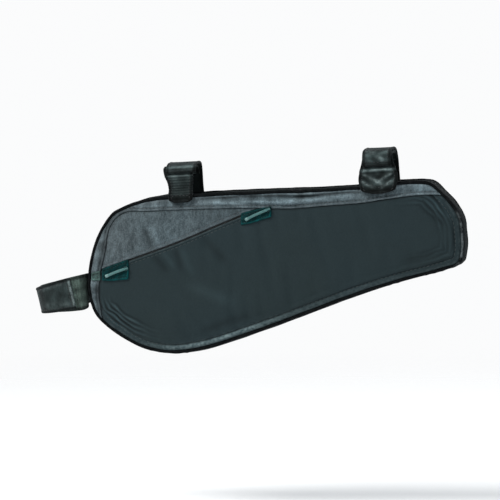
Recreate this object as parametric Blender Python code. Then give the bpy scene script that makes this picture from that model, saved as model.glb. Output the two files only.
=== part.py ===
"""Bicycle frame bag that hangs under a top tube, its rear end against the
seat tube.  Blender 4.5, metres, +Z up, +X towards the front of the bicycle,
the visible side of the bag towards -Y.

The origin lies on the axis of the top tube, midway between its two straps.
The bag is a hollow shell: two side faces, a gusset strip round the edge, and
piping in the two edge seams.  Every table below is in millimetres."""

import math
import bpy
import numpy as np

MM = 0.001

# ---------------------------------------------------------------- sizes (mm)
WALL = 2.0              # cloth with its foam backing
GAP = 0.35              # clearance between neighbouring pieces
PIPE_R = 1.2            # piping radius
ZIP_HALF = 1.4          # half width of the zip that shows
ZIP_SINK = 0.7          # zip surface below the cloth
ZIP_T = 1.3
PATCH_T = 0.9           # teal garage cloth
PULL_R = 1.05           # turquoise pull cord
TUBE_SLOPE = math.radians(3.85)      # top tube rises towards the front
SEAT_LEAN = math.radians(13.9)       # seat tube leans back
TOP_STRAP_T = 2.0
EDGE_POWER = 2.6        # how quickly a side face swells in from its seam

# The bag's outline seen from the side.  half is half of the bag's width at
# the seam there, crown how far the gusset stands out between its seams.
OUTLINE = [
    # place               x       z      half  crown
    ("seat_tube_low",   -148.3,  -92.7,  17.0,  0.0),
    ("rear_corner",     -142.0, -108.4,  17.0,  0.4),
    ("lower_rear",      -123.1, -123.6,  17.5,  1.0),
    ("belly_rear",      -104.0, -132.8,  18.0,  1.4),
    ("belly",            -84.0, -136.1,  18.0,  1.6),
    ("belly_front",      -60.0, -133.2,  18.0,  1.6),
    ("keel_rear",        -16.9, -119.3,  18.0,  1.4),
    ("keel_front",        64.7,  -88.5,  17.0,  1.2),
    ("keel_rise",         97.0,  -78.1,  14.8,  1.0),
    ("front_low",        130.0,  -69.1,  12.6,  0.8),
    ("front_corner",     142.4,  -63.9,  11.6,  0.7),
    ("front_edge_low",   145.3,  -55.3,  11.2,  0.6),
    ("front_edge_high",  145.1,  -39.2,  11.0,  0.6),
    ("front_edge_top",   143.2,  -28.3,  10.8,  0.5),
    ("front_shoulder",   136.2,  -16.6,  11.0,  0.2),
    ("front_slope",      128.2,   -8.2,  11.4, -0.4),
    ("front_top",        119.8,   -1.4,  13.0, -1.6),
    ("top_front",        111.6,    0.0,  14.8, -2.8),
    ("top_strap",         88.0,   -1.4,  17.0, -4.0),
    ("top_rise",          71.7,   -3.8,  17.3, -4.2),
    ("top_middle",        35.1,   -6.8,  18.0, -3.8),
    ("top_sag",           -5.6,   -8.7,  18.5, -3.8),
    ("top_rear_strap",   -58.8,  -11.6,  18.0, -4.3),
    ("top_rear",         -99.6,  -15.5,  18.0, -2.8),
    ("rear_bend",       -113.0,  -19.0,  17.5, -0.8),
    ("rear_shoulder",   -123.2,  -23.3,  17.2, -0.2),
    ("rear_round",      -129.6,  -27.0,  17.0,  0.4),
    ("rear_upper",      -138.5,  -39.2,  17.0,  1.0),
    ("rear_slope",      -145.6,  -56.5,  17.0,  0.8),
    ("seat_tube_high",  -149.0,  -76.0,  17.0,  0.0),
]

# Ridge line of the filled bag, and its half width there.
SPINE = [
    # place        x       z     half
    ("rear",     -92.0,  -76.0,  24.0),
    ("middle",     0.0,  -64.0,  24.6),
    ("front",    106.0,  -40.0,  18.8),
]

# Seam between the grey edge band and the inner side panels.
BAND_SEAM = [
    # place             x       z
    ("low_tip",       -138.3, -103.0),
    ("rear_low",      -139.6,  -92.0),
    ("rear_mid",      -138.6,  -76.0),
    ("rear_high",     -134.6,  -58.0),
    ("shoulder_low",  -131.0,  -38.0),
    ("shoulder",      -121.0,  -27.4),
    ("top_rear",      -100.0,  -25.6),
    ("top_mid",        -28.0,  -22.4),
    ("zip_end",         -8.0,  -22.4),
    ("sag",             16.0,  -22.0),
    ("sag_front",       36.0,  -20.0),
    ("front_sag",       56.0,  -18.4),
    ("front_knee",      67.0,  -17.4),
    ("under_strap",     79.0,  -15.4),
    ("front_rise",      97.0,  -12.6),
    ("front_thin",     112.0,  -10.9),
    ("front_tip",        126.0,  -10.9),
]

# Centre line of the zip, rear end first.
ZIP_LINE = [
    # place          x       z
    ("rear_end",   -137.2,  -71.6),
    ("rear",       -114.4,  -63.2),
    ("middle",      -75.8,  -48.9),
    ("front",       -45.8,  -36.0),
    ("front_end",   -14.0,  -22.7),
]

# Teal cloth patches over the zip ends: top edge from (x0, z0) to (x1, z1),
# drop0 and drop1 are how far the patch reaches below its two ends.
GARAGES = [
    # name                x0      z0      x1      z1    drop0   drop1
    ("zip_garage_rear",  -137.0,  -70.6, -115.2,  -62.4,   9.8,  16.2),
    ("zip_garage_front",  -27.2,  -25.8,   -3.2,  -20.0,  10.0,   9.0),
]
PULLS = [
    # name              x0      z0      x1      z1
    ("zip_pull_rear",  -133.6,  -76.4, -115.6,  -69.4),
    ("zip_pull_front",  -23.0,  -30.9,   -4.2,  -22.3),
]

# Soft folds of the side faces: a trough from (x0, z0) to (x1, z1).
FOLDS = [
    # name            x0     z0     x1     z1    width depth
    ("under_zip",    -92.0, -52.0, -66.0, -80.0,   9.0,  1.3),
    ("mid_diagonal", -62.0, -48.0, -34.0, -84.0,  11.0,  1.1),
    ("belly_pull",  -118.0, -96.0, -84.0, -118.0,  9.0,  0.9),
    ("front_drag",    96.0, -24.0, 126.0, -44.0,  10.0,  0.8),
    ("keel_drag",     20.0, -58.0,  62.0, -74.0,  12.0,  0.8),
]

# Straps.  u runs across the tube (near side negative), v away from the
# tube's axis on the side that the bag isn't on, width along the tube, shift
# along the tube, skew the change of v across the width.  The tab starts on
# the near seam, the strap on the far one.
TOP_REAR = dict(x=-76.0, tilt=TUBE_SLOPE)
TOP_FRONT = dict(x=79.0, tilt=TUBE_SLOPE)
TAB_REAR = [
    # place          u      v    width  shift  skew
    ("tip",        -21.7, -13.4,  11.0,  0.8,  0.0),
    ("foot",       -21.7, -11.8,  17.4,  0.4,  0.0),
    ("hip",        -20.8,  -8.8,  19.6,  0.2,  0.0),
    ("side_low",   -17.8,  -3.4,  18.8,  0.2,  0.0),
    ("side",       -16.8,   2.6,  20.5,  0.0,  0.0),
    ("side_high",  -16.2,   7.0,  22.5, -0.8,  0.0),
    ("near_top",   -12.0,  12.1,  24.0, -1.6,  0.0),
    ("top",          0.0,  13.4,  24.0, -2.0,  0.0),
    ("far_top",     12.0,  12.1,  24.0, -2.0,  0.0),
    ("far_end",     16.0,   6.6,  24.0, -2.0,  0.0),
]
STRAP_REAR = [
    ("foot",        21.9, -14.6,  23.0,  0.0,  0.0),
    ("hip",         21.2, -10.0,  23.0,  0.0,  0.0),
    ("side",        19.4,  -2.0,  23.0,  0.0,  0.0),
    ("side_high",   18.8,   7.2,  23.4,  0.0,  0.0),
    ("far_top",     13.6,  14.4,  23.8,  0.4,  0.0),
    ("top",          0.0,  15.9,  23.8,  0.8,  0.0),
    ("near_top",   -13.6,  14.4,  23.8,  1.2,  0.0),
    ("edge",       -17.9,   9.6,  23.4,  1.2,  0.0),
]
TAB_FRONT = [
    ("tip",        -21.2, -15.4,   6.0,  0.4,  0.0),
    ("foot",       -21.2, -13.2,  24.0,  0.4,  0.0),
    ("hip",        -20.4,  -8.8,  29.0,  0.4,  0.0),
    ("side_low",   -18.2,  -3.4,  31.0,  0.4,  0.0),
    ("side",       -17.0,   2.6,  29.0,  0.4,  0.0),
    ("side_high",  -16.3,   8.6,  25.0,  0.2,  0.0),
    ("near_top",   -12.2,  14.2,  23.0,  0.0,  0.0),
    ("top",          0.0,  15.6,  22.5,  0.0,  0.0),
    ("far_top",     12.2,  14.2,  22.5,  0.0,  0.0),
    ("far_end",     16.2,   8.4,  22.5,  0.0,  0.0),
]
STRAP_FRONT = [
    ("foot",        21.4, -15.2,  23.0,  0.0,  0.0),
    ("hip",         20.9, -10.0,  23.0,  0.0,  0.0),
    ("side",        19.5,  -2.0,  23.0,  0.0,  0.0),
    ("side_high",   18.9,   9.4,  22.8,  0.0,  0.0),
    ("far_top",     13.8,  16.6,  22.6,  0.0,  0.0),
    ("top",          0.0,  18.1,  22.6,  0.0,  0.0),
    ("near_top",   -13.8,  16.6,  22.6,  0.0,  0.0),
    ("near_side",  -18.5,  11.0,  22.5,  0.0,  0.0),
    ("edge",       -19.4,   6.0,  22.4,  0.0,  0.0),
]
# Here v points away from the bag, to the rear of the seat tube, and the feet
# lie on the gusset, which isn't parallel to the tube.
SEAT = dict(x=-168.1, z=-91.9, lean=SEAT_LEAN)
SEAT_TAB = [
    ("foot",       -10.4, -17.5,  26.0, -1.0, -6.2),
    ("foot_edge",  -14.0, -17.4,  26.6, -1.2, -6.0),
    ("seam_bend",  -17.6, -14.6,  27.0, -1.3, -4.2),
    ("side_low",   -18.9,  -8.0,  26.6, -1.0, -1.0),
    ("side",       -18.7,   0.0,  25.4, -0.5,  0.0),
    ("near_back",  -14.6,  12.2,  23.0,  0.4,  0.0),
    ("back",        -4.0,  18.6,  21.5,  0.6,  0.0),
    ("far_back",     7.0,  17.6,  21.5,  0.6,  0.0),
]
SEAT_STRAP = [
    ("foot",        10.4, -17.3,  22.0,  0.0, -5.3),
    ("foot_edge",   14.0, -17.2,  22.5,  0.0, -5.2),
    ("seam_bend",   17.8, -14.6,  23.0,  0.0, -3.6),
    ("side_low",    19.2,  -8.0,  23.0,  0.0, -1.0),
    ("side",        19.4,   0.0,  23.0,  0.0,  0.0),
    ("far_back",    17.0,  11.0,  22.6,  0.0,  0.0),
    ("back_out",     8.0,  20.9,  21.4,  0.0,  0.0),
    ("back",        -5.0,  22.2,  20.6,  0.0,  0.0),
    ("near_back",  -16.6,  15.4,  22.0,  0.0,  0.0),
    ("near_side",  -21.2,   4.0,  24.0,  0.0,  0.0),
    ("edge",       -21.8,  -8.2,  25.0,  0.0,  0.0),
]

# name, colour (linear), roughness, metallic
FINISH = {
    "charcoal": ((0.022, 0.036, 0.039), 0.72, 0.0),
    "heather": ((0.080, 0.098, 0.106), 0.85, 0.0),
    "black": ((0.008, 0.009, 0.010), 0.60, 0.0),
    "strap": ((0.030, 0.036, 0.036), 0.80, 0.0),
    "teal_dark": ((0.004, 0.040, 0.042), 0.65, 0.0),
    "turquoise": ((0.060, 0.270, 0.260), 0.55, 0.0),
    "zip": ((0.006, 0.007, 0.008), 0.45, 0.0),
}


# ------------------------------------------------------------ curve helpers
def smooth(rows, count, closed=False, power=0.5):
    """Centripetal Catmull-Rom curve through the rows' numbers."""
    p = np.array([r[1:] for r in rows], float)
    n = len(p)
    if closed:
        q = np.vstack([p[-1], p, p[0], p[1]])
        spans = n
    else:
        q = np.vstack([2 * p[0] - p[1], p, 2 * p[-1] - p[-2]])
        spans = n - 1
    out = []
    per = max(4, int(math.ceil(count * 4 / spans)))
    for i in range(spans):
        a, b, c, d = q[i], q[i + 1], q[i + 2], q[i + 3]
        t0 = 0.0
        t1 = t0 + np.linalg.norm((b - a)[:2]) ** power
        t2 = t1 + np.linalg.norm((c - b)[:2]) ** power
        t3 = t2 + np.linalg.norm((d - c)[:2]) ** power
        for k in range(per):
            t = t1 + (t2 - t1) * k / per
            a1 = (t1 - t) / (t1 - t0) * a + (t - t0) / (t1 - t0) * b
            a2 = (t2 - t) / (t2 - t1) * b + (t - t1) / (t2 - t1) * c
            a3 = (t3 - t) / (t3 - t2) * c + (t - t2) / (t3 - t2) * d
            b1 = (t2 - t) / (t2 - t0) * a1 + (t - t0) / (t2 - t0) * a2
            b2 = (t3 - t) / (t3 - t1) * a2 + (t - t1) / (t3 - t1) * a3
            out.append((t2 - t) / (t2 - t1) * b1 + (t - t1) / (t2 - t1) * b2)
    if not closed:
        out.append(p[-1])
    return np.array(out)


def resample(curve, count, closed=False, bend=0.0):
    """Evenly spaced points, closer together where the curve bends."""
    c = np.vstack([curve, curve[:1]]) if closed else curve
    d = np.diff(c[:, :2], axis=0)
    seg = np.hypot(d[:, 0], d[:, 1])
    ang = np.arctan2(d[:, 1], d[:, 0])
    turn = np.abs((np.diff(ang, append=ang[0] if closed else ang[-1])
                   + math.pi) % (2 * math.pi) - math.pi)
    turn = 0.5 * (turn + np.roll(turn, 1)) if closed else turn
    s = np.concatenate([[0.0], np.cumsum(seg + bend * turn)])
    at = np.linspace(0.0, s[-1], count + 1)
    if closed:
        at = at[:-1]
    return np.stack([np.interp(at, s, c[:, k]) for k in range(c.shape[1])], 1)


def inward(points, closed=True):
    """Unit normals to the left of the direction of travel."""
    if closed:
        t = np.roll(points, -1, 0)[:, :2] - np.roll(points, 1, 0)[:, :2]
    else:
        t = np.gradient(points[:, :2], axis=0)
    t = t / np.linalg.norm(t, axis=1)[:, None]
    return np.stack([-t[:, 1], t[:, 0]], 1)


EDGE = resample(smooth(OUTLINE, 240, closed=True), 480, closed=True, bend=30.0)
EDGE_N = inward(EDGE)
BAND_CURVE = resample(smooth(BAND_SEAM, 80), 240)
ZIP_CURVE = resample(smooth(ZIP_LINE, 40), 80)


def offset(points, dist, closed=False):
    out = points.copy()
    out[:, :2] += inward(points, closed) * dist
    return out


def nearest_index(points, x, z):
    return int(np.argmin((points[:, 0] - x) ** 2 + (points[:, 1] - z) ** 2))


def edge_stretch(start, stop, inset, count, bend=30.0):
    """Points along the outline, inset from it, between two places on it."""
    i = nearest_index(EDGE, *start)
    j = nearest_index(EDGE, *stop)
    order = (np.arange(i, j + 1) if j > i
             else np.concatenate([np.arange(i, len(EDGE)), np.arange(0, j + 1)]))
    ring = EDGE.copy()
    ring[:, :2] += EDGE_N * inset
    return resample(ring[order][:, :2], count, bend=bend)


# --------------------------------------------------------- the side surface
def fold_depth(x, z):
    """How far the soft folds draw the face in."""
    total = np.zeros_like(x)
    for _, x0, z0, x1, z1, width, depth in FOLDS:
        dx, dz = x1 - x0, z1 - z0
        ln = math.hypot(dx, dz)
        t = ((x - x0) * dx + (z - z0) * dz) / ln ** 2
        away = ((x - x0) * dz - (z - z0) * dx) / ln
        along = np.exp(-(np.maximum(0.0, np.abs(t - 0.5) - 0.35) / 0.25) ** 2)
        total += depth * along * np.exp(-(away / width) ** 2)
    return total


def half_width(x, z):
    """Half of the bag's width at a point of its side: seam width at the edge,
    swelling to the ridge line."""
    x = np.asarray(x, float)
    z = np.asarray(z, float)
    shape = x.shape
    p = np.stack([x.ravel(), z.ravel()], 1)
    sp = np.array([r[1:] for r in SPINE], float)
    best = None
    for a, b in zip(sp[:-1], sp[1:]):
        d = b[:2] - a[:2]
        t = np.clip(((p - a[:2]) @ d) / (d @ d), 0.0, 1.0)
        q = a[:2] + t[:, None] * d
        hc = a[2] + t * (b[2] - a[2])
        dist = np.linalg.norm(p - q, axis=1)
        if best is None:
            best = [q, hc, dist]
        else:
            m = dist < best[2]
            best[0][m], best[1][m], best[2][m] = q[m], hc[m], dist[m]
    q, hc, dist = best
    away = p - q
    ln = np.maximum(np.linalg.norm(away, axis=1), 1e-6)
    away = away / ln[:, None]
    a = EDGE[:, :2]
    b = np.roll(a, -1, 0)
    e = b - a
    reach = np.full(len(p), np.inf)
    half = np.full(len(p), 0.0)
    w0 = EDGE[:, 2]
    w1 = np.roll(w0, -1)
    for k in range(len(p)):
        den = away[k, 0] * e[:, 1] - away[k, 1] * e[:, 0]
        den = np.where(np.abs(den) < 1e-12, 1e-12, den)
        r = a - q[k]
        s = (r[:, 0] * e[:, 1] - r[:, 1] * e[:, 0]) / den
        t = (r[:, 0] * away[k, 1] - r[:, 1] * away[k, 0]) / den
        ok = (s > 0) & (t >= -1e-9) & (t <= 1 + 1e-9)
        i = int(np.argmin(np.where(ok, s, np.inf)))
        reach[k] = s[i]
        half[k] = w0[i] + t[i] * (w1[i] - w0[i])
    rel = np.clip(dist / reach, 0.0, 1.05)
    h = hc + (half - hc) * rel ** EDGE_POWER
    h = h - fold_depth(p[:, 0], p[:, 1]) * (1.0 - np.clip(rel, 0, 1) ** 4)
    return h.reshape(shape)


# ------------------------------------------------------------- mesh helpers
def add_object(name, verts, faces, finish, smooth_angle=40.0):
    mesh = bpy.data.meshes.new(name)
    mesh.from_pydata([tuple(float(c) * MM for c in v) for v in verts], [], faces)
    mesh.validate()
    mesh.update()
    mesh.shade_smooth()
    mesh.set_sharp_from_angle(angle=math.radians(smooth_angle))
    obj = bpy.data.objects.new(name, mesh)
    bpy.context.scene.collection.objects.link(obj)
    mat = bpy.data.materials.get(finish)
    if mat is None:
        colour, rough, metal = FINISH[finish]
        mat = bpy.data.materials.new(finish)
        mat.use_nodes = True
        shader = mat.node_tree.nodes["Principled BSDF"]
        shader.inputs["Base Color"].default_value = (*colour, 1.0)
        shader.inputs["Roughness"].default_value = rough
        shader.inputs["Metallic"].default_value = metal
        mat.diffuse_color = (*colour, 1.0)
    mesh.materials.append(mat)
    return obj


def skin_solid(name, outer, inner, finish):
    """Closed wall between two grids of points, rows by columns."""
    nu, nv = outer.shape[:2]
    verts = np.vstack([outer.reshape(-1, 3), inner.reshape(-1, 3)])
    half = nu * nv
    faces = []

    def at(i, j, layer=0):
        return layer * half + i * nv + j

    for i in range(nu - 1):
        for j in range(nv - 1):
            faces.append((at(i, j), at(i + 1, j), at(i + 1, j + 1), at(i, j + 1)))
            faces.append((at(i, j, 1), at(i, j + 1, 1), at(i + 1, j + 1, 1), at(i + 1, j, 1)))
    for i in range(nu - 1):
        faces.append((at(i + 1, 0), at(i, 0), at(i, 0, 1), at(i + 1, 0, 1)))
        faces.append((at(i, nv - 1), at(i + 1, nv - 1), at(i + 1, nv - 1, 1), at(i, nv - 1, 1)))
    for j in range(nv - 1):
        faces.append((at(0, j), at(0, j + 1), at(0, j + 1, 1), at(0, j, 1)))
        faces.append((at(nu - 1, j + 1), at(nu - 1, j), at(nu - 1, j, 1), at(nu - 1, j + 1, 1)))
    # outward order: the outer grid's own winding must face away from the inner
    a, b, c = outer[0, 0], outer[1, 0], outer[0, 1]
    normal = np.cross(b - a, c - a)
    if normal @ (outer[0, 0] - inner[0, 0]) < 0:
        faces = [tuple(reversed(f)) for f in faces]
    return add_object(name, verts, faces, finish)


def coons(bottom, top, left, right):
    """Grid of (x, z) between four boundary curves.  bottom and top run along
    the columns, left and right along the rows, bottom to top."""
    nu, nv = len(bottom), len(left)
    u = np.linspace(0, 1, nu)[:, None, None]
    v = np.linspace(0, 1, nv)[None, :, None]
    ruled_v = (1 - v) * bottom[:, None, :] + v * top[:, None, :]
    ruled_u = (1 - u) * left[None, :, :] + u * right[None, :, :]
    corner = ((1 - u) * (1 - v) * bottom[0] + u * (1 - v) * bottom[-1]
              + (1 - u) * v * top[0] + u * v * top[-1])
    return ruled_v + ruled_u - corner


def face_skin(name, grid, side, finish, lift=0.0, wall=WALL):
    """A piece of a side face: side is -1 for the near face, +1 for the far."""
    h = half_width(grid[..., 0], grid[..., 1])
    outer = np.stack([grid[..., 0], side * (h + lift), grid[..., 1]], -1)
    inner = np.stack([grid[..., 0], side * (h + lift - wall), grid[..., 1]], -1)
    return skin_solid(name, outer, inner, finish)


def tube_solid(name, centre, radius, sides, finish, closed, axes):
    """Tube of round section along 3-D points; axes gives two unit vectors
    across it at each point."""
    n = len(centre)
    ring = []
    for k in range(sides):
        t = 2 * math.pi * (k + 0.5) / sides
        ring.append(centre + radius * (math.cos(t) * axes[0] + math.sin(t) * axes[1]))
    grid = np.stack(ring, 1)
    verts = grid.reshape(-1, 3)
    faces = []
    last = n if closed else n - 1
    for i in range(last):
        for k in range(sides):
            a = i * sides + k
            b = i * sides + (k + 1) % sides
            c = ((i + 1) % n) * sides + (k + 1) % sides
            d = ((i + 1) % n) * sides + k
            faces.append((a, b, c, d))
    if not closed:
        faces.append(tuple(range(sides))[::-1])
        faces.append(tuple((n - 1) * sides + k for k in range(sides)))
    return add_object(name, verts, faces, finish, smooth_angle=80.0)


def flip_if_inside_out(obj):
    """Turns every face when the closed mesh encloses a negative volume."""
    mesh = obj.data
    mesh.calc_loop_triangles()
    v = np.array([p.co[:] for p in mesh.vertices])
    vol = sum(float(np.dot(v[t.vertices[0]], np.cross(v[t.vertices[1]], v[t.vertices[2]])))
              for t in mesh.loop_triangles)
    if vol < 0:
        mesh.flip_normals()
    return obj


# ------------------------------------------------------------------ pieces
def make_gusset():
    ring = resample(smooth(OUTLINE, 240, closed=True), 76, closed=True, bend=34.0)
    nrm = inward(ring)
    cols = (-1.0, -0.5, 0.0, 0.5, 1.0)
    sections = []
    for layer in (0, 1):
        rows = []
        for c in cols if layer == 0 else reversed(cols):
            y = c * (ring[:, 2] - PIPE_R - GAP)
            stand = ring[:, 3] * (1 - c * c) - 0.35 - layer * WALL
            rows.append(np.stack([ring[:, 0] - nrm[:, 0] * stand, y,
                                  ring[:, 1] - nrm[:, 1] * stand], -1))
        sections += rows
    grid = np.stack(sections, 1)                 # samples x 10 x 3
    n, m = grid.shape[:2]
    faces = []
    for i in range(n):
        for k in range(m):
            faces.append((i * m + k, i * m + (k + 1) % m,
                          ((i + 1) % n) * m + (k + 1) % m, ((i + 1) % n) * m + k))
    return flip_if_inside_out(add_object("gusset", grid.reshape(-1, 3), faces, "charcoal"))


def make_piping(name, side):
    ring = resample(smooth(OUTLINE, 240, closed=True), 76, closed=True, bend=34.0)
    nrm = inward(ring)
    centre = np.stack([ring[:, 0] + nrm[:, 0] * PIPE_R, side * ring[:, 2],
                       ring[:, 1] + nrm[:, 1] * PIPE_R], -1)
    across = np.stack([nrm[:, 0], np.zeros(len(ring)), nrm[:, 1]], -1)
    depth = np.tile([0.0, 1.0, 0.0], (len(ring), 1))
    return flip_if_inside_out(
        tube_solid(name, centre, PIPE_R, 6, "black", True, (across, depth)))


INSET = 2 * PIPE_R + GAP
CORNER_RT = (128.2, -8.2)          # front top corner
CORNER_RB = (142.4, -63.9)         # front bottom corner
CORNER_LB = (-142.0, -108.4)       # rear bottom corner
CORNER_LT = (-129.6, -27.0)        # rear top corner


def along(curve, start, stop, count):
    """Evenly spaced stretch of a curve between the points nearest to two
    places."""
    i = nearest_index(curve, *start)
    j = nearest_index(curve, *stop)
    part = curve[i:j + 1] if j > i else curve[j:i + 1][::-1]
    return resample(part[:, :2], count)


def make_main_panel():
    nu, nv = 30, 11
    low = offset(ZIP_CURVE, -(ZIP_HALF + GAP))
    under = offset(BAND_CURVE, -GAP / 2 - 0.1)
    top = np.vstack([along(low, (-136.4, -73.2), (-16.0, -25.2), 60),
                     along(under, (-8.0, -22.4), (126.0, -10.9), 60)])
    top = resample(top, nu)
    bottom = edge_stretch(CORNER_LB, CORNER_RB, INSET, nu, bend=0.0)
    start = bottom[0] + np.array([2.2, 2.6])
    left = along(under, (-138.3, -102.0), (-138.6, -75.0), 40)
    left = np.vstack([[start], left[2:], [top[0]]])
    left = resample(left, nv)
    right = edge_stretch(CORNER_RB, (130.4, -10.2), INSET, nv, bend=22.0)
    right[-1] = top[-1]
    bottom[0] = left[0]
    bottom[-1] = right[0]
    grid = coons(bottom, top, left, right)
    return face_skin("panel_main_near", grid, -1, "charcoal")


def make_upper_panel():
    nu, nv = 15, 5
    high = offset(ZIP_CURVE, ZIP_HALF + GAP)
    inside = offset(BAND_CURVE, -GAP / 2 - 0.1)
    bottom = along(high, (-135.4, -69.2), (-27.0, -26.4), nu)
    left = along(inside, (-136.6, -68.2), (-126.4, -31.0), nv)
    top = along(inside, (-126.4, -31.0), (-27.0, -22.4), nu)
    bottom[0] = left[0]
    right = np.linspace(bottom[-1], top[-1], nv + 1)
    top[0] = left[-1]
    return face_skin("panel_upper_near", coons(bottom, top, left, right), -1, "heather")


def make_band():
    nu, nv = 62, 2
    outer = edge_stretch((127.2, -7.2), (-145.6, -100.0), INSET, nu, bend=8.0)
    outside = offset(BAND_CURVE, GAP / 2 + 0.1)[::-1]
    inner = resample(outside[:, :2], nu, bend=8.0)
    rows = [outer + (inner - outer) * k / nv for k in range(nv + 1)]
    return face_skin("band_near", np.stack(rows, 1), -1, "heather")


def make_far_panel():
    nu, nv = 30, 11
    top = edge_stretch(CORNER_RT, CORNER_LT, INSET, nu, bend=6.0)[::-1]
    bottom = edge_stretch(CORNER_LB, CORNER_RB, INSET, nu, bend=6.0)
    left = edge_stretch(CORNER_LT, CORNER_LB, INSET, nv, bend=10.0)[::-1]
    right = edge_stretch(CORNER_RB, CORNER_RT, INSET, nv, bend=22.0)
    return face_skin("panel_far", coons(bottom, top, left, right), 1, "charcoal")


def make_zip():
    """The zip, cut off along the edge band where it runs out under it."""
    line = resample(ZIP_CURVE, 19)[1:-1]
    low = offset(line, -ZIP_HALF)
    high = offset(line, ZIP_HALF)
    seam = np.interp(high[:, 0], BAND_CURVE[:, 0], BAND_CURVE[:, 1])
    front = high[:, 0] > -60.0
    high[front, 1] = np.minimum(high[front, 1], seam[front] - GAP - 0.15)
    grid = np.stack([low, 0.5 * (low + high), high], 1)
    return face_skin("zip", grid[..., :2], -1, "zip", lift=-ZIP_SINK, wall=ZIP_T)


def make_garage(name, x0, z0, x1, z1, drop0, drop1):
    nu, nv = 6, 4
    t = np.linspace(0, 1, nu + 1)[:, None]
    top = np.array([x0, z0]) + t * np.array([x1 - x0, z1 - z0])
    down = np.array([0.0, -1.0]) * (drop0 + t * (drop1 - drop0))
    rows = [top + down * k / nv for k in range(nv + 1)]
    return face_skin(name, np.stack(rows, 1), -1, "teal_dark", lift=GAP + PATCH_T, wall=PATCH_T)


def make_pull(name, x0, z0, x1, z1):
    pts = np.array([x0, z0]) + np.linspace(0, 1, 7)[:, None] * np.array([x1 - x0, z1 - z0])
    h = half_width(pts[:, 0], pts[:, 1]) + GAP + PATCH_T + GAP + PULL_R
    centre = np.stack([pts[:, 0], -h, pts[:, 1]], -1)
    t = np.gradient(centre, axis=0)
    t /= np.linalg.norm(t, axis=1)[:, None]
    across = np.cross(t, np.tile([0.0, -1.0, 0.0], (len(t), 1)))
    across /= np.linalg.norm(across, axis=1)[:, None]
    return flip_if_inside_out(
        tube_solid(name, centre, PULL_R, 8, "turquoise", False, (across, np.cross(t, across))))


def make_band_round_tube(name, rows, centre, e_u, e_v, e_w, finish, sections=22):
    """A flat band of cloth bent round a tube, TOP_STRAP_T thick."""
    path = resample(smooth(rows, 40), sections, bend=7.0)
    nrm = inward(path, closed=False)
    centre, e_u, e_v, e_w = (np.array(k, float) for k in (centre, e_u, e_v, e_w))
    layers = []
    for off in (0.5, -0.5):
        cols = []
        for c in (-0.5, 0.0, 0.5):
            u = path[:, 0] + nrm[:, 0] * off * TOP_STRAP_T
            v = path[:, 1] + nrm[:, 1] * off * TOP_STRAP_T + c * path[:, 4]
            w = path[:, 3] + c * path[:, 2]
            cols.append(centre + u[:, None] * e_u + v[:, None] * e_v + w[:, None] * e_w)
        layers.append(np.stack(cols, 1))
    return flip_if_inside_out(skin_solid(name, layers[0], layers[1], finish))


def make_top_strap(suffix, place, tab, strap):
    c, s = math.cos(place["tilt"]), math.sin(place["tilt"])
    centre = (place["x"], 0.0, place["x"] * math.tan(place["tilt"]))
    axes = ((0, 1, 0), (-s, 0, c), (c, 0, s))
    make_band_round_tube("top_tab_" + suffix, tab, centre, *axes, "strap")
    make_band_round_tube("top_strap_" + suffix, strap, centre, *axes, "strap")


def make_seat_strap():
    c, s = math.cos(SEAT["lean"]), math.sin(SEAT["lean"])
    centre = (SEAT["x"], 0.0, SEAT["z"])
    axes = ((0, 1, 0), (-c, 0, -s), (-s, 0, c))
    make_band_round_tube("seat_tab", SEAT_TAB, centre, *axes, "strap")
    make_band_round_tube("seat_strap", SEAT_STRAP, centre, *axes, "strap")


def main():
    for obj in list(bpy.data.objects):
        bpy.data.objects.remove(obj, do_unlink=True)
    make_main_panel()
    make_upper_panel()
    make_band()
    make_far_panel()
    make_gusset()
    make_piping("piping_near", -1)
    make_piping("piping_far", 1)
    make_zip()
    for row in GARAGES:
        make_garage(*row)
    for row in PULLS:
        make_pull(*row)
    make_top_strap("rear", TOP_REAR, TAB_REAR, STRAP_REAR)
    make_top_strap("front", TOP_FRONT, TAB_FRONT, STRAP_FRONT)
    make_seat_strap()


main()
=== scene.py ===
"""Looks of the bicycle frame bag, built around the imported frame.

Every table is in millimetres in the row frame; add_mesh turns them into
metres.  The bag's two faces are settled by a cloth simulation over the shape
that the tables give, and the panels, zip, patches and stitches all follow the
settled surface."""

import math

import bmesh
import bpy
import numpy as np
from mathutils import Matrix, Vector
from mathutils.bvhtree import BVHTree


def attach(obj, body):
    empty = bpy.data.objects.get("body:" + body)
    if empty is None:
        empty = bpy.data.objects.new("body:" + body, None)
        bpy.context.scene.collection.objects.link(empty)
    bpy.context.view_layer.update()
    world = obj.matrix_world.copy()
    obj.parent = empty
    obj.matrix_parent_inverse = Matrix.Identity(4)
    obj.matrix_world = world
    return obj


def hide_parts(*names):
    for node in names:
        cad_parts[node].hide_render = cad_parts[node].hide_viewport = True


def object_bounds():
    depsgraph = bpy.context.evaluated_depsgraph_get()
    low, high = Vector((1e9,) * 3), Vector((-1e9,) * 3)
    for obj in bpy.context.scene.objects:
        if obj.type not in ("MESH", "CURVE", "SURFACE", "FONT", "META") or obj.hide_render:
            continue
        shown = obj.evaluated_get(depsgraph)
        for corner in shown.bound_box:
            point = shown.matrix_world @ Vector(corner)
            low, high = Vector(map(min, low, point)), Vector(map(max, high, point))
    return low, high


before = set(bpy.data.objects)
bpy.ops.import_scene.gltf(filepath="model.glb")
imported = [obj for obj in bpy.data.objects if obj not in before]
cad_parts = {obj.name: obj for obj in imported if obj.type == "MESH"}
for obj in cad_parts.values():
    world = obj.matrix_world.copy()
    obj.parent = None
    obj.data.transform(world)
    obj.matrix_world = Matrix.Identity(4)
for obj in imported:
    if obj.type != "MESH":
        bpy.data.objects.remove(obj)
CAD_BOX = [list(c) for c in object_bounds()]

MM = 0.001
PI = math.pi

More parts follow.
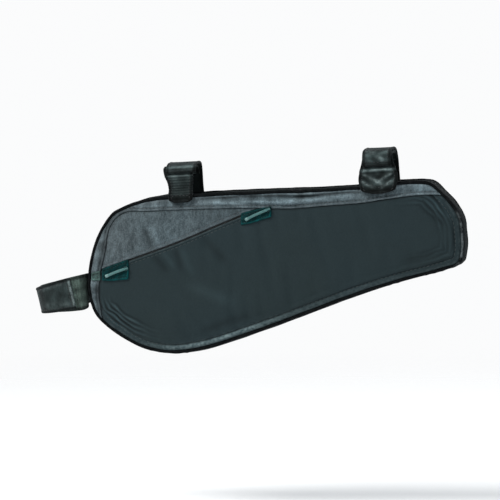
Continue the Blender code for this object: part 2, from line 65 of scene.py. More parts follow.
# ---------------------------------------------------------------- sizes (mm)
WALL = 2.0
GAP = 0.35
PIPE_R = 1.2
ZIP_HALF = 0.55          # the panels' lips nearly meet over it
ZIP_SINK = 0.7
PATCH_T = 0.9
PULL_R = 1.05
TUBE_SLOPE = math.radians(3.85)
SEAT_LEAN = math.radians(13.9)
TOP_STRAP_T = 2.0
EDGE_POWER = 2.6
SEAM_IN = 1.2            # where a panel's edge is sewn in under the piping
SETTLE_CAP = 2.6         # the most that the settled cloth may move
CREASE_GAIN = 1.6

OUTLINE = [
    # place               x       z      half  crown
    ("seat_tube_low",   -148.3,  -92.7,  17.0,  0.0),
    ("rear_corner",     -142.0, -108.4,  17.0,  0.4),
    ("lower_rear",      -123.1, -123.6,  17.5,  1.0),
    ("belly_rear",      -104.0, -132.8,  18.0,  1.4),
    ("belly",            -84.0, -136.1,  18.0,  1.6),
    ("belly_front",      -60.0, -133.2,  18.0,  1.6),
    ("keel_rear",        -16.9, -119.3,  18.0,  1.4),
    ("keel_front",        64.7,  -88.5,  17.0,  1.2),
    ("keel_rise",         97.0,  -78.1,  14.8,  1.0),
    ("front_low",        130.0,  -69.1,  12.6,  0.8),
    ("front_corner",     142.4,  -63.9,  11.6,  0.7),
    ("front_edge_low",   145.3,  -55.3,  11.2,  0.6),
    ("front_edge_high",  145.1,  -39.2,  11.0,  0.6),
    ("front_edge_top",   143.2,  -28.3,  10.8,  0.5),
    ("front_shoulder",   136.2,  -16.6,  11.0,  0.2),
    ("front_slope",      128.2,   -8.2,  11.4, -0.4),
    ("front_top",        119.8,   -1.4,  13.0, -1.6),
    ("top_front",        111.6,    0.0,  14.8, -2.8),
    ("top_strap",         88.0,   -1.4,  17.0, -4.0),
    ("top_rise",          71.7,   -3.8,  17.3, -4.2),
    ("top_middle",        35.1,   -6.8,  18.0, -3.8),
    ("top_sag",           -5.6,   -8.7,  18.5, -3.8),
    ("top_rear_strap",   -58.8,  -11.6,  18.0, -4.3),
    ("top_rear",         -99.6,  -15.5,  18.0, -2.8),
    ("rear_bend",       -113.0,  -19.0,  17.5, -0.8),
    ("rear_shoulder",   -123.2,  -23.3,  17.2, -0.2),
    ("rear_round",      -129.6,  -27.0,  17.0,  0.4),
    ("rear_upper",      -138.5,  -39.2,  17.0,  1.0),
    ("rear_slope",      -145.6,  -56.5,  17.0,  0.8),
    ("seat_tube_high",  -149.0,  -76.0,  17.0,  0.0),
]
SPINE = [
    # place        x       z     half
    ("rear",     -92.0,  -76.0,  24.0),
    ("middle",     0.0,  -64.0,  24.6),
    ("front",    106.0,  -40.0,  18.8),
]
BAND_SEAM = [
    # place             x       z
    ("low_tip",       -138.3, -103.0),
    ("rear_low",      -139.6,  -92.0),
    ("rear_mid",      -138.6,  -76.0),
    ("rear_high",     -134.6,  -58.0),
    ("shoulder_low",  -131.0,  -38.0),
    ("shoulder",      -121.0,  -27.4),
    ("top_rear",      -100.0,  -25.6),
    ("top_mid",        -28.0,  -22.4),
    ("zip_end",         -8.0,  -22.4),
    ("sag",             16.0,  -22.0),
    ("sag_front",       36.0,  -20.0),
    ("front_sag",       56.0,  -18.4),
    ("front_knee",      67.0,  -17.4),
    ("under_strap",     79.0,  -15.4),
    ("front_rise",      97.0,  -12.6),
    ("front_thin",     112.0,  -10.9),
    ("front_tip",        126.0,  -10.9),
]
ZIP_LINE = [
    # place          x       z
    ("rear_end",   -137.2,  -71.6),
    ("rear",       -114.4,  -63.2),
    ("middle",      -75.8,  -48.9),
    ("front",       -45.8,  -36.0),
    ("front_end",   -14.0,  -22.7),
]
GARAGES = [
    # name                x0      z0      x1      z1    drop0   drop1
    ("zip_garage_rear",  -137.0,  -70.6, -115.2,  -62.4,   9.8,  16.2),
    ("zip_garage_front",  -27.2,  -25.8,   -3.2,  -20.0,  10.0,   9.0),
]
PULLS = [
    # name              x0      z0      x1      z1
    ("zip_pull_rear",  -133.6,  -76.4, -115.6,  -69.4),
    ("zip_pull_front",  -23.0,  -30.9,   -4.2,  -22.3),
]
FOLDS = [
    # name            x0     z0     x1     z1    width depth
    ("under_zip",    -92.0, -52.0, -66.0, -80.0,   9.0,  1.3),
    ("mid_diagonal", -62.0, -48.0, -34.0, -84.0,  11.0,  1.1),
    ("belly_pull",  -118.0, -96.0, -84.0, -118.0,  9.0,  0.9),
    ("front_drag",    96.0, -24.0, 126.0, -44.0,  10.0,  0.8),
    ("keel_drag",     20.0, -58.0,  62.0, -74.0,  12.0,  0.8),
]
# Finer creases that only the looks carry: a ridge (height above 0) or a
# crease (below 0) from (x0, z0) to (x1, z1).
CREASES = [
    # name               x0      z0      x1      z1    width height
    ("zip_left_a",      -97.0,  -58.0,  -84.0,  -74.0,  2.4, -0.45),
    ("zip_left_b",      -90.0,  -56.0,  -78.0,  -70.0,  2.0,  0.40),
    ("zip_mid_a",       -80.0,  -53.0,  -72.0,  -72.0,  2.2, -0.45),
    ("zip_mid_b",       -74.0,  -52.0,  -62.0,  -76.0,  2.6,  0.35),
    ("zip_right",       -56.0,  -44.0,  -36.0,  -66.0,  3.0, -0.35),
    ("middle_sweep",    -70.0,  -80.0,  -30.0,  -98.0,  4.5,  0.35),
    ("panel_pinch_a",  -104.0,  -38.0,  -98.0,  -54.0,  2.2, -0.60),
    ("panel_pinch_b",   -99.0,  -36.0,  -92.0,  -50.0,  2.4,  0.40),
    ("panel_pinch_c",  -114.0,  -40.0, -112.0,  -58.0,  2.6, -0.35),
    ("front_arc_a",     112.0,  -16.0,  134.0,  -34.0,  2.2, -0.35),
    ("front_arc_b",     118.0,  -13.0,  139.0,  -31.0,  2.0,  0.30),
    ("front_low",       100.0,  -62.0,  128.0,  -54.0,  3.0, -0.30),
    ("belly_low",       -60.0, -118.0,  -16.0, -106.0,  3.0, -0.35),
    ("rear_low_a",     -132.0, -104.0, -112.0, -118.0,  2.0, -0.30),
    ("rear_low_b",     -128.0, -100.0, -108.0, -113.0,  2.2,  0.25),
    # the loose edge band between the two top straps
    ("band_roll_a",     -58.0,  -17.6,  -16.0,  -19.4,  1.5,  0.75),
    ("band_roll_b",     -30.0,  -15.6,   20.0,  -15.6,  1.4,  0.85),
    ("band_roll_c",      -4.0,  -17.4,   44.0,  -12.6,  1.4,  0.80),
    ("band_roll_d",      30.0,  -13.4,   72.0,  -11.2,  1.5,  0.75),
    ("band_dip_a",      -40.0,  -16.6,    4.0,  -17.6,  1.1, -0.65),
    ("band_dip_b",       10.0,  -14.0,   50.0,  -14.2,  1.1, -0.65),
    ("band_dip_c",       88.0,   -8.4,  112.0,   -6.8,  1.3, -0.40),
    ("band_rear_a",    -112.0,  -22.4,  -84.0,  -19.6,  1.5,  0.45),
    ("band_rear_b",    -141.0,  -62.0, -141.6,  -84.0,  1.6,  0.35),
]

TOP_REAR = dict(x=-76.0, tilt=TUBE_SLOPE)
TOP_FRONT = dict(x=79.0, tilt=TUBE_SLOPE)
TAB_REAR = [
    # place          u      v    width  shift  skew
    ("tip",        -21.7, -13.4,  11.0,  0.8,  0.0),
    ("foot",       -21.7, -11.8,  17.4,  0.4,  0.0),
    ("hip",        -20.8,  -8.8,  19.6,  0.2,  0.0),
    ("side_low",   -17.8,  -3.4,  18.8,  0.2,  0.0),
    ("side",       -16.8,   2.6,  20.5,  0.0,  0.0),
    ("side_high",  -16.2,   7.0,  22.5, -0.8,  0.0),
    ("near_top",   -12.0,  12.1,  24.0, -1.6,  0.0),
    ("top",          0.0,  13.4,  24.0, -2.0,  0.0),
    ("far_top",     12.0,  12.1,  24.0, -2.0,  0.0),
    ("far_end",     16.0,   6.6,  24.0, -2.0,  0.0),
]
STRAP_REAR = [
    ("foot",        21.9, -14.6,  23.0,  0.0,  0.0),
    ("hip",         21.2, -10.0,  23.0,  0.0,  0.0),
    ("side",        19.4,  -2.0,  23.0,  0.0,  0.0),
    ("side_high",   18.8,   7.2,  23.4,  0.0,  0.0),
    ("far_top",     13.6,  14.4,  23.8,  0.4,  0.0),
    ("top",          0.0,  15.9,  23.8,  0.8,  0.0),
    ("near_top",   -13.6,  14.4,  23.8,  1.2,  0.0),
    ("edge",       -17.9,   9.6,  23.4,  1.2,  0.0),
]
TAB_FRONT = [
    ("tip",        -21.2, -15.4,   6.0,  0.4,  0.0),
    ("foot",       -21.2, -13.2,  24.0,  0.4,  0.0),
    ("hip",        -20.4,  -8.8,  29.0,  0.4,  0.0),
    ("side_low",   -18.2,  -3.4,  31.0,  0.4,  0.0),
    ("side",       -17.0,   2.6,  29.0,  0.4,  0.0),
    ("side_high",  -16.3,   8.6,  25.0,  0.2,  0.0),
    ("near_top",   -12.2,  14.2,  23.0,  0.0,  0.0),
    ("top",          0.0,  15.6,  22.5,  0.0,  0.0),
    ("far_top",     12.2,  14.2,  22.5,  0.0,  0.0),
    ("far_end",     16.2,   8.4,  22.5,  0.0,  0.0),
]
STRAP_FRONT = [
    ("foot",        21.4, -15.2,  23.0,  0.0,  0.0),
    ("hip",         20.9, -10.0,  23.0,  0.0,  0.0),
    ("side",        19.5,  -2.0,  23.0,  0.0,  0.0),
    ("side_high",   18.9,   9.4,  22.8,  0.0,  0.0),
    ("far_top",     13.8,  16.6,  22.6,  0.0,  0.0),
    ("top",          0.0,  18.1,  22.6,  0.0,  0.0),
    ("near_top",   -13.8,  16.6,  22.6,  0.0,  0.0),
    ("near_side",  -18.5,  11.0,  22.5,  0.0,  0.0),
    ("edge",       -19.4,   6.0,  22.4,  0.0,  0.0),
]
SEAT = dict(x=-168.1, z=-91.9, lean=SEAT_LEAN)
SEAT_TAB = [
    ("foot",       -10.4, -17.5,  26.0, -1.0, -6.2),
    ("foot_edge",  -14.0, -17.4,  26.6, -1.2, -6.0),
    ("seam_bend",  -17.6, -14.6,  27.0, -1.3, -4.2),
    ("side_low",   -18.9,  -8.0,  26.6, -1.0, -1.0),
    ("side",       -18.7,   0.0,  25.4, -0.5,  0.0),
    ("near_back",  -14.6,  12.2,  23.0,  0.4,  0.0),
    ("back",        -4.0,  18.6,  21.5,  0.6,  0.0),
    ("far_back",     7.0,  17.6,  21.5,  0.6,  0.0),
]
SEAT_STRAP = [
    ("foot",        10.4, -17.3,  22.0,  0.0, -5.3),
    ("foot_edge",   14.0, -17.2,  22.5,  0.0, -5.2),
    ("seam_bend",   17.8, -14.6,  23.0,  0.0, -3.6),
    ("side_low",    19.2,  -8.0,  23.0,  0.0, -1.0),
    ("side",        19.4,   0.0,  23.0,  0.0,  0.0),
    ("far_back",    17.0,  11.0,  22.6,  0.0,  0.0),
    ("back_out",     8.0,  20.9,  21.4,  0.0,  0.0),
    ("back",        -5.0,  22.2,  20.6,  0.0,  0.0),
    ("near_back",  -16.6,  15.4,  22.0,  0.0,  0.0),
    ("near_side",  -21.2,   4.0,  24.0,  0.0,  0.0),
    ("edge",       -21.8,  -8.2,  25.0,  0.0,  0.0),
]


# ------------------------------------------------------------ curve helpers
def smooth(rows, count, closed=False, power=0.5):
    """Centripetal Catmull-Rom curve through the rows' numbers."""
    p = np.array([r[1:] for r in rows], float)
    n = len(p)
    if closed:
        q = np.vstack([p[-1], p, p[0], p[1]])
        spans = n
    else:
        q = np.vstack([2 * p[0] - p[1], p, 2 * p[-1] - p[-2]])
        spans = n - 1
    out = []
    per = max(4, int(math.ceil(count * 4 / spans)))
    for i in range(spans):
        a, b, c, d = q[i], q[i + 1], q[i + 2], q[i + 3]
        t0 = 0.0
        t1 = t0 + np.linalg.norm((b - a)[:2]) ** power
        t2 = t1 + np.linalg.norm((c - b)[:2]) ** power
        t3 = t2 + np.linalg.norm((d - c)[:2]) ** power
        for k in range(per):
            t = t1 + (t2 - t1) * k / per
            a1 = (t1 - t) / (t1 - t0) * a + (t - t0) / (t1 - t0) * b
            a2 = (t2 - t) / (t2 - t1) * b + (t - t1) / (t2 - t1) * c
            a3 = (t3 - t) / (t3 - t2) * c + (t - t2) / (t3 - t2) * d
            b1 = (t2 - t) / (t2 - t0) * a1 + (t - t0) / (t2 - t0) * a2
            b2 = (t3 - t) / (t3 - t1) * a2 + (t - t1) / (t3 - t1) * a3
            out.append((t2 - t) / (t2 - t1) * b1 + (t - t1) / (t2 - t1) * b2)
    if not closed:
        out.append(p[-1])
    return np.array(out)


def resample(curve, count, closed=False, bend=0.0):
    """Evenly spaced points, closer together where the curve bends."""
    c = np.vstack([curve, curve[:1]]) if closed else curve
    d = np.diff(c[:, :2], axis=0)
    seg = np.hypot(d[:, 0], d[:, 1])
    ang = np.arctan2(d[:, 1], d[:, 0])
    turn = np.abs((np.diff(ang, append=ang[0] if closed else ang[-1])
                   + PI) % (2 * PI) - PI)
    turn = 0.5 * (turn + np.roll(turn, 1)) if closed else turn
    s = np.concatenate([[0.0], np.cumsum(seg + bend * turn)])
    at = np.linspace(0.0, s[-1], count + 1)
    if closed:
        at = at[:-1]
    return np.stack([np.interp(at, s, c[:, k]) for k in range(c.shape[1])], 1)


def inward(points, closed=True):
    """Unit normals to the left of the direction of travel."""
    if closed:
        t = np.roll(points, -1, 0)[:, :2] - np.roll(points, 1, 0)[:, :2]
    else:
        t = np.gradient(points[:, :2], axis=0)
    t = t / np.linalg.norm(t, axis=1)[:, None]
    return np.stack([-t[:, 1], t[:, 0]], 1)


def offset(points, dist, closed=False):
    out = points.copy()
    out[:, :2] += inward(points, closed) * dist
    return out


def nearest_index(points, x, z):
    return int(np.argmin((points[:, 0] - x) ** 2 + (points[:, 1] - z) ** 2))


def arc_of(points, closed=False):
    """Length along the polyline at each point; closed adds the last gap."""
    p = np.vstack([points, points[:1]]) if closed else points
    return np.concatenate([[0.0], np.cumsum(np.linalg.norm(np.diff(p, axis=0), axis=1))])


def at_share(poly, share):
    """Points at shares 0..1 of a polyline's length."""
    s = arc_of(poly)
    return np.stack([np.interp(np.asarray(share) * s[-1], s, poly[:, k])
                     for k in range(poly.shape[1])], -1)


def crowd(count, reach, more=3.0):
    """count + 1 shares from 0 to 1, closer together towards both ends."""
    t = np.linspace(0, 1, 2001)
    dens = 1.0 + more * (np.exp(-t / reach) + np.exp(-(1 - t) / reach))
    c = np.concatenate([[0.0], np.cumsum(0.5 * (dens[1:] + dens[:-1]))])
    return np.interp(np.linspace(0, c[-1], count + 1), c, t)


def coons(bottom, top, left, right, us, vs):
    """Grid of (x, z) between four boundary polylines, at shares us along
    bottom and top and vs along left and right."""
    b, t = at_share(bottom, us), at_share(top, us)
    lf, r = at_share(left, vs), at_share(right, vs)
    u = us[:, None, None]
    v = vs[None, :, None]
    corner = ((1 - u) * (1 - v) * b[0] + u * (1 - v) * b[-1]
              + (1 - u) * v * t[0] + u * v * t[-1])
    return ((1 - v) * b[:, None, :] + v * t[:, None, :]
            + (1 - u) * lf[None, :, :] + u * r[None, :, :] - corner)


def nearest_on(x, z, curve, closed=False):
    """Distance from each point to a polyline, and the length along it of the
    nearest place."""
    shape = np.shape(x)
    p = np.stack([np.ravel(x), np.ravel(z)], 1)
    a = curve[:, :2]
    b = np.roll(a, -1, 0) if closed else a[1:]
    a = a if closed else a[:-1]
    e = b - a
    ee = np.maximum((e ** 2).sum(1), 1e-12)
    s0 = np.concatenate([[0.0], np.cumsum(np.sqrt(ee))])[:-1]
    dist = np.empty(len(p))
    along = np.empty(len(p))
    for k in range(0, len(p), 4000):
        q = p[k:k + 4000]
        rx = q[:, None, 0] - a[None, :, 0]
        rz = q[:, None, 1] - a[None, :, 1]
        t = np.clip((rx * e[:, 0] + rz * e[:, 1]) / ee, 0.0, 1.0)
        d2 = (rx - t * e[:, 0]) ** 2 + (rz - t * e[:, 1]) ** 2
        i = np.argmin(d2, 1)
        row = np.arange(len(q))
        dist[k:k + 4000] = np.sqrt(d2[row, i])
        along[k:k + 4000] = s0[i] + t[row, i] * np.sqrt(ee[i])
    return dist.reshape(shape), along.reshape(shape)


def junction(a, b, near):
    """Where two polylines cross or come closest, near a place."""
    a = at_share(a[:, :2], np.linspace(0, 1, 1600))
    b = at_share(b[:, :2], np.linspace(0, 1, 2600))
    a = a[np.hypot(a[:, 0] - near[0], a[:, 1] - near[1]) < 14.0]
    b = b[np.hypot(b[:, 0] - near[0], b[:, 1] - near[1]) < 14.0]
    d = np.hypot(a[:, None, 0] - b[None, :, 0], a[:, None, 1] - b[None, :, 1])
    i, j = np.unravel_index(np.argmin(d), d.shape)
    return 0.5 * (a[i] + b[j])


def between(curve, start, stop):
    """The stretch of an open polyline between the places nearest to two
    points, starting and ending exactly on them."""
    start, stop = np.asarray(start, float), np.asarray(stop, float)
    _, s0 = nearest_on(start[0], start[1], curve)
    _, s1 = nearest_on(stop[0], stop[1], curve)
    s = arc_of(curve[:, :2])
    n = max(12, int(abs(s1 - s0) / 0.5))
    at = np.linspace(float(s0), float(s1), n)
    out = np.stack([np.interp(at, s, curve[:, k]) for k in range(2)], 1)
    out[0], out[-1] = start, stop
    return out


def ring_between(ring, start, stop):
    """The stretch of a closed ring, in its own direction, between the points
    nearest to two places."""
    i = nearest_index(ring, *start)
    j = nearest_index(ring, *stop)
    order = (np.arange(i, j + 1) if j > i
             else np.concatenate([np.arange(i, len(ring)), np.arange(0, j + 1)]))
    return ring[order][:, :2]


def waves(s, wave, seed, parts=5):
    """Soft irregular wave along a length, between about -1 and 1."""
    rng = np.random.RandomState(seed)
    total = np.zeros_like(np.asarray(s, float))
    for _ in range(parts):
        total += np.sin(2 * PI * s / (wave * rng.uniform(0.62, 1.75)) + rng.uniform(0, 2 * PI))
    return total / math.sqrt(parts)


def ripple(x, z, wave, seed, parts=9):
    """Soft irregular surface, between about -1 and 1."""
    rng = np.random.RandomState(seed)
    total = np.zeros_like(np.asarray(x, float))
    for _ in range(parts):
        a = rng.uniform(0, 2 * PI)
        w = wave * rng.uniform(0.6, 1.7)
        total += np.sin(2 * PI * (x * math.cos(a) + z * math.sin(a)) / w + rng.uniform(0, 2 * PI))
    return total / math.sqrt(parts)


def bump(d, width):
    return np.exp(-(d / width) ** 2)


def drop_off(s, reach, power=2.2):
    """1 at a seam, 0 from reach mm away."""
    return (1.0 - np.clip(s / reach, 0.0, 1.0)) ** power


EDGE = resample(smooth(OUTLINE, 240, closed=True), 480, closed=True, bend=30.0)
RING = resample(smooth(OUTLINE, 240, closed=True), 1500, closed=True, bend=12.0)
SEWN = offset(RING, SEAM_IN, closed=True)[:, :2]
ZIP_CURVE = resample(smooth(ZIP_LINE, 40), 80)


# ---------------------------------------------------------- the side surface
def fold_depth(x, z):
    total = np.zeros_like(x)
    for _, x0, z0, x1, z1, width, depth in FOLDS:
        dx, dz = x1 - x0, z1 - z0
        ln = math.hypot(dx, dz)
        t = ((x - x0) * dx + (z - z0) * dz) / ln ** 2
        away = ((x - x0) * dz - (z - z0) * dx) / ln
        along = np.exp(-(np.maximum(0.0, np.abs(t - 0.5) - 0.35) / 0.25) ** 2)
        total += depth * along * np.exp(-(away / width) ** 2)
    return total


def creases(x, z):
    total = np.zeros_like(x)
    for k, (_, x0, z0, x1, z1, width, height) in enumerate(CREASES):
        dx, dz = x1 - x0, z1 - z0
        ln = math.hypot(dx, dz)
        t = ((x - x0) * dx + (z - z0) * dz) / ln ** 2
        away = ((x - x0) * dz - (z - z0) * dx) / ln
        away = away + 0.10 * ln * np.sin(2.2 * t + k) * 0.35
        along = np.exp(-(np.maximum(0.0, np.abs(t - 0.5) - 0.22) / 0.22) ** 2)
        total += CREASE_GAIN * height * along * np.exp(-(away / width) ** 2)
    return total


def half_width(x, z):
    """Half of the bag's width at a point of its side: seam width at the edge,
    swelling to the ridge line."""
    x = np.asarray(x, float)
    z = np.asarray(z, float)
    shape = x.shape
    p = np.stack([x.ravel(), z.ravel()], 1)
    sp = np.array([r[1:] for r in SPINE], float)
    best = None
    for a, b in zip(sp[:-1], sp[1:]):
        d = b[:2] - a[:2]
        t = np.clip(((p - a[:2]) @ d) / (d @ d), 0.0, 1.0)
        q = a[:2] + t[:, None] * d
        hc = a[2] + t * (b[2] - a[2])
        dist = np.linalg.norm(p - q, axis=1)
        if best is None:
            best = [q, hc, dist]
        else:
            m = dist < best[2]
            best[0][m], best[1][m], best[2][m] = q[m], hc[m], dist[m]
    q, hc, dist = best
    away = p - q
    away = away / np.maximum(np.linalg.norm(away, axis=1), 1e-6)[:, None]
    a = EDGE[:, :2]
    e = np.roll(a, -1, 0) - a
    w0 = EDGE[:, 2]
    w1 = np.roll(w0, -1)
    reach = np.empty(len(p))
    half = np.empty(len(p))
    for k in range(0, len(p), 3000):
        ax, az = away[k:k + 3000, 0, None], away[k:k + 3000, 1, None]
        den = ax * e[:, 1] - az * e[:, 0]
        den = np.where(np.abs(den) < 1e-12, 1e-12, den)
        rx = a[:, 0] - q[k:k + 3000, 0, None]
        rz = a[:, 1] - q[k:k + 3000, 1, None]
        s = (rx * e[:, 1] - rz * e[:, 0]) / den
        t = (rx * az - rz * ax) / den
        ok = (s > 0) & (t >= -1e-9) & (t <= 1 + 1e-9)
        i = np.argmin(np.where(ok, s, np.inf), 1)
        row = np.arange(len(i))
        reach[k:k + 3000] = s[row, i]
        half[k:k + 3000] = w0[i] + t[row, i] * (w1[i] - w0[i])
    rel = np.clip(dist / reach, 0.0, 1.05)
    h = hc + (half - hc) * rel ** EDGE_POWER
    h = h - fold_depth(p[:, 0], p[:, 1]) * (1.0 - np.clip(rel, 0, 1) ** 4)
    return h.reshape(shape)


# ----------------------------------------------------------- settling cloth
class Field:
    """A value on a square lattice over the side, read smoothly."""

    def __init__(self, x0, z0, step, values):
        self.x0, self.z0, self.step, self.values = x0, z0, step, values

    def __call__(self, x, z):
        nx, nz = self.values.shape
        fx = np.clip((np.asarray(x, float) - self.x0) / self.step, 1.0, nx - 3.001)
        fz = np.clip((np.asarray(z, float) - self.z0) / self.step, 1.0, nz - 3.001)
        i, j = fx.astype(int), fz.astype(int)

        def weights(t):
            return ((1 - t) ** 3 / 6, (3 * t ** 3 - 6 * t ** 2 + 4) / 6,
                    (-3 * t ** 3 + 3 * t ** 2 + 3 * t + 1) / 6, t ** 3 / 6)

        wx, wz = weights(fx - i), weights(fz - j)
        total = 0.0
        for a in range(4):
            for b in range(4):
                total = total + wx[a] * wz[b] * self.values[i + a - 1, j + b - 1]
        return total


def face_grid(us, vs, inset_ring):
    """The whole face between its four sides, inside a ring."""
    lb, rb = (-142.0, -108.4), (142.4, -63.9)
    rt, lt = (128.2, -8.2), (-129.6, -27.0)
    bottom = ring_between(inset_ring, lb, rb)
    right = ring_between(inset_ring, rb, rt)
    top = ring_between(inset_ring, rt, lt)[::-1]
    left = ring_between(inset_ring, lt, lb)[::-1]
    bend = [resample(c, 600, bend=6.0) for c in (bottom, top)]
    left = resample(left, 300, bend=10.0)
    right = resample(right, 300, bend=22.0)

    def at(poly, share):
        return np.stack([np.interp(share, np.linspace(0, 1, len(poly)), poly[:, k])
                         for k in range(2)], -1)

    b, t, lf, r = at(bend[0], us), at(bend[1], us), at(left, vs), at(right, vs)
    u, v = us[:, None, None], vs[None, :, None]
    corner = ((1 - u) * (1 - v) * b[0] + u * (1 - v) * b[-1]
              + (1 - u) * v * t[0] + u * v * t[-1])
    return ((1 - v) * b[:, None, :] + v * t[:, None, :]
            + (1 - u) * lf[None, :, :] + u * r[None, :, :] - corner)


def settle(side, spare, pressure, seed):
    """Cloth simulation of one face, sewn down round its edge and with a
    little spare cloth, and how far it moves from the plain shape."""
    step = 1.5
    x0, z0, nx, nz = -153.0, -140.0, 203, 94
    grow = 10.0                       # simulated ten times larger
    inner = offset(RING, 2.6, closed=True)[:, :2]
    nu, nv = 96, 38
    grid = face_grid(np.linspace(0, 1, nu + 1), np.linspace(0, 1, nv + 1), inner)
    gx, gz = grid[..., 0], grid[..., 1]
    h = half_width(gx, gz) + 0.10 * ripple(gx, gz, 26.0, seed)
    pts = np.stack([gx, side * h, gz], -1).reshape(-1, 3) * MM * grow
    w = nv + 1
    faces = [(i * w + j, (i + 1) * w + j, (i + 1) * w + j + 1, i * w + j + 1)
             for i in range(nu) for j in range(nv)]
    if side > 0:
        faces = [f[::-1] for f in faces]
    mesh = bpy.data.meshes.new("settling")
    mesh.from_pydata(pts.tolist(), [], faces)
    obj = bpy.data.objects.new("settling", mesh)
    bpy.context.scene.collection.objects.link(obj)
    rim = [i * w + j for i in range(nu + 1) for j in range(nv + 1)
           if i in (0, nu) or j in (0, nv)]
    near_rim = [i * w + j for i in range(1, nu) for j in range(1, nv)
                if i in (1, nu - 1) or j in (1, nv - 1)]
    pin = obj.vertex_groups.new(name="sewn")
    pin.add(rim, 1.0, "REPLACE")
    pin.add(near_rim, 0.25, "REPLACE")
    cloth = obj.modifiers.new("cloth", "CLOTH")
    st = cloth.settings
    st.quality = 8
    st.mass = 0.25
    st.tension_stiffness = st.compression_stiffness = 18.0
    st.shear_stiffness = 6.0
    st.bending_stiffness = 2.2
    st.tension_damping = st.compression_damping = st.shear_damping = 8.0
    st.bending_damping = 0.8
    st.air_damping = 2.0
    st.vertex_group_mass = "sewn"
    st.pin_stiffness = 1.0
    st.shrink_min = -spare
    st.use_pressure = True
    st.uniform_pressure_force = pressure
    st.effector_weights.gravity = 0.12
    cloth.collision_settings.use_collision = False
    cloth.collision_settings.use_self_collision = False
    scene = bpy.context.scene
    last = 26
    cloth.point_cache.frame_start = 1
    cloth.point_cache.frame_end = last
    for f in range(1, last + 1):
        scene.frame_set(f)
    dg = bpy.context.evaluated_depsgraph_get()
    ev = obj.evaluated_get(dg)
    done = ev.to_mesh()
    co = np.zeros(len(done.vertices) * 3)
    done.vertices.foreach_get("co", co)
    ev.to_mesh_clear()
    co = co.reshape(-1, 3) / (MM * grow)
    bpy.data.objects.remove(obj)
    bpy.data.meshes.remove(mesh)
    scene.frame_set(1)
    tree = BVHTree.FromPolygons([Vector(c) for c in co], faces)
    values = np.zeros((nx, nz))
    hit = np.zeros((nx, nz), bool)
    for i in range(nx):
        for j in range(nz):
            x, z = x0 + i * step, z0 + j * step
            place = tree.ray_cast(Vector((x, side * 90.0, z)), Vector((0, -side, 0)))[0]
            if place is not None:
                values[i, j] = abs(place.y)
                hit[i, j] = True
    ii, jj = np.nonzero(hit)
    values[ii, jj] -= half_width(x0 + ii * step, z0 + jj * step)
    values[~hit] = 0.0
    # what spreads wide is left to the CAD shape; the wrinkles stay
    wide = values.copy()
    for _ in range(60):
        wide = 0.2 * (wide + np.roll(wide, 1, 0) + np.roll(wide, -1, 0)
                      + np.roll(wide, 1, 1) + np.roll(wide, -1, 1))
    values = np.where(hit, values - 0.75 * wide, 0.0)
    values = SETTLE_CAP * np.tanh(values / SETTLE_CAP)
    print("settled side", side, "moved", round(float(values.min()), 2),
          round(float(values.max()), 2), "mm, spread", round(float(values[hit].std()), 3))
    return Field(x0, z0, step, values)


SETTLED = {-1: settle(-1, 0.030, 2.0, 5), 1: settle(1, 0.030, 2.0, 11)}

# ------------------------------------------------------ seams on the near side
REAR_END = SEWN[nearest_index(SEWN, -137.2, -111.2)]
FRONT_END = SEWN[nearest_index(SEWN, 130.2, -10.6)]
SEAM = resample(smooth([("rear", *REAR_END)] + BAND_SEAM + [("front", *FRONT_END)], 160), 900)
_d0 = (ZIP_CURVE[0] - ZIP_CURVE[4]) / np.linalg.norm(ZIP_CURVE[0] - ZIP_CURVE[4])
_d1 = (ZIP_CURVE[-1] - ZIP_CURVE[-5]) / np.linalg.norm(ZIP_CURVE[-1] - ZIP_CURVE[-5])
ZIP_LONG = resample(np.vstack([ZIP_CURVE[0] + _d0 * 5.0, ZIP_CURVE, ZIP_CURVE[-1] + _d1 * 9.0]), 400)
ZIP_LOW = offset(ZIP_LONG, -ZIP_HALF)
ZIP_HIGH = offset(ZIP_LONG, ZIP_HALF)
LOW_REAR = junction(ZIP_LOW, SEAM, (-138.6, -73.4))
LOW_FRONT = junction(ZIP_LOW, SEAM, (-10.5, -22.4))
HIGH_REAR = junction(ZIP_HIGH, SEAM, (-137.8, -70.2))
HIGH_FRONT = junction(ZIP_HIGH, SEAM, (-16.0, -22.4))


def stretch(x, a, b, soft):
    """1 between a and b, falling to 0 over soft outside them."""
    return (1.0 / (1.0 + np.exp(-(x - a) / (0.35 * soft)))
            * 1.0 / (1.0 + np.exp((x - b) / (0.35 * soft))))


def taut(x):
    """The cloth is drawn tighter towards the front end."""
    return 1.0 - 0.62 * stretch(x, -6.0, 400.0, 40.0)


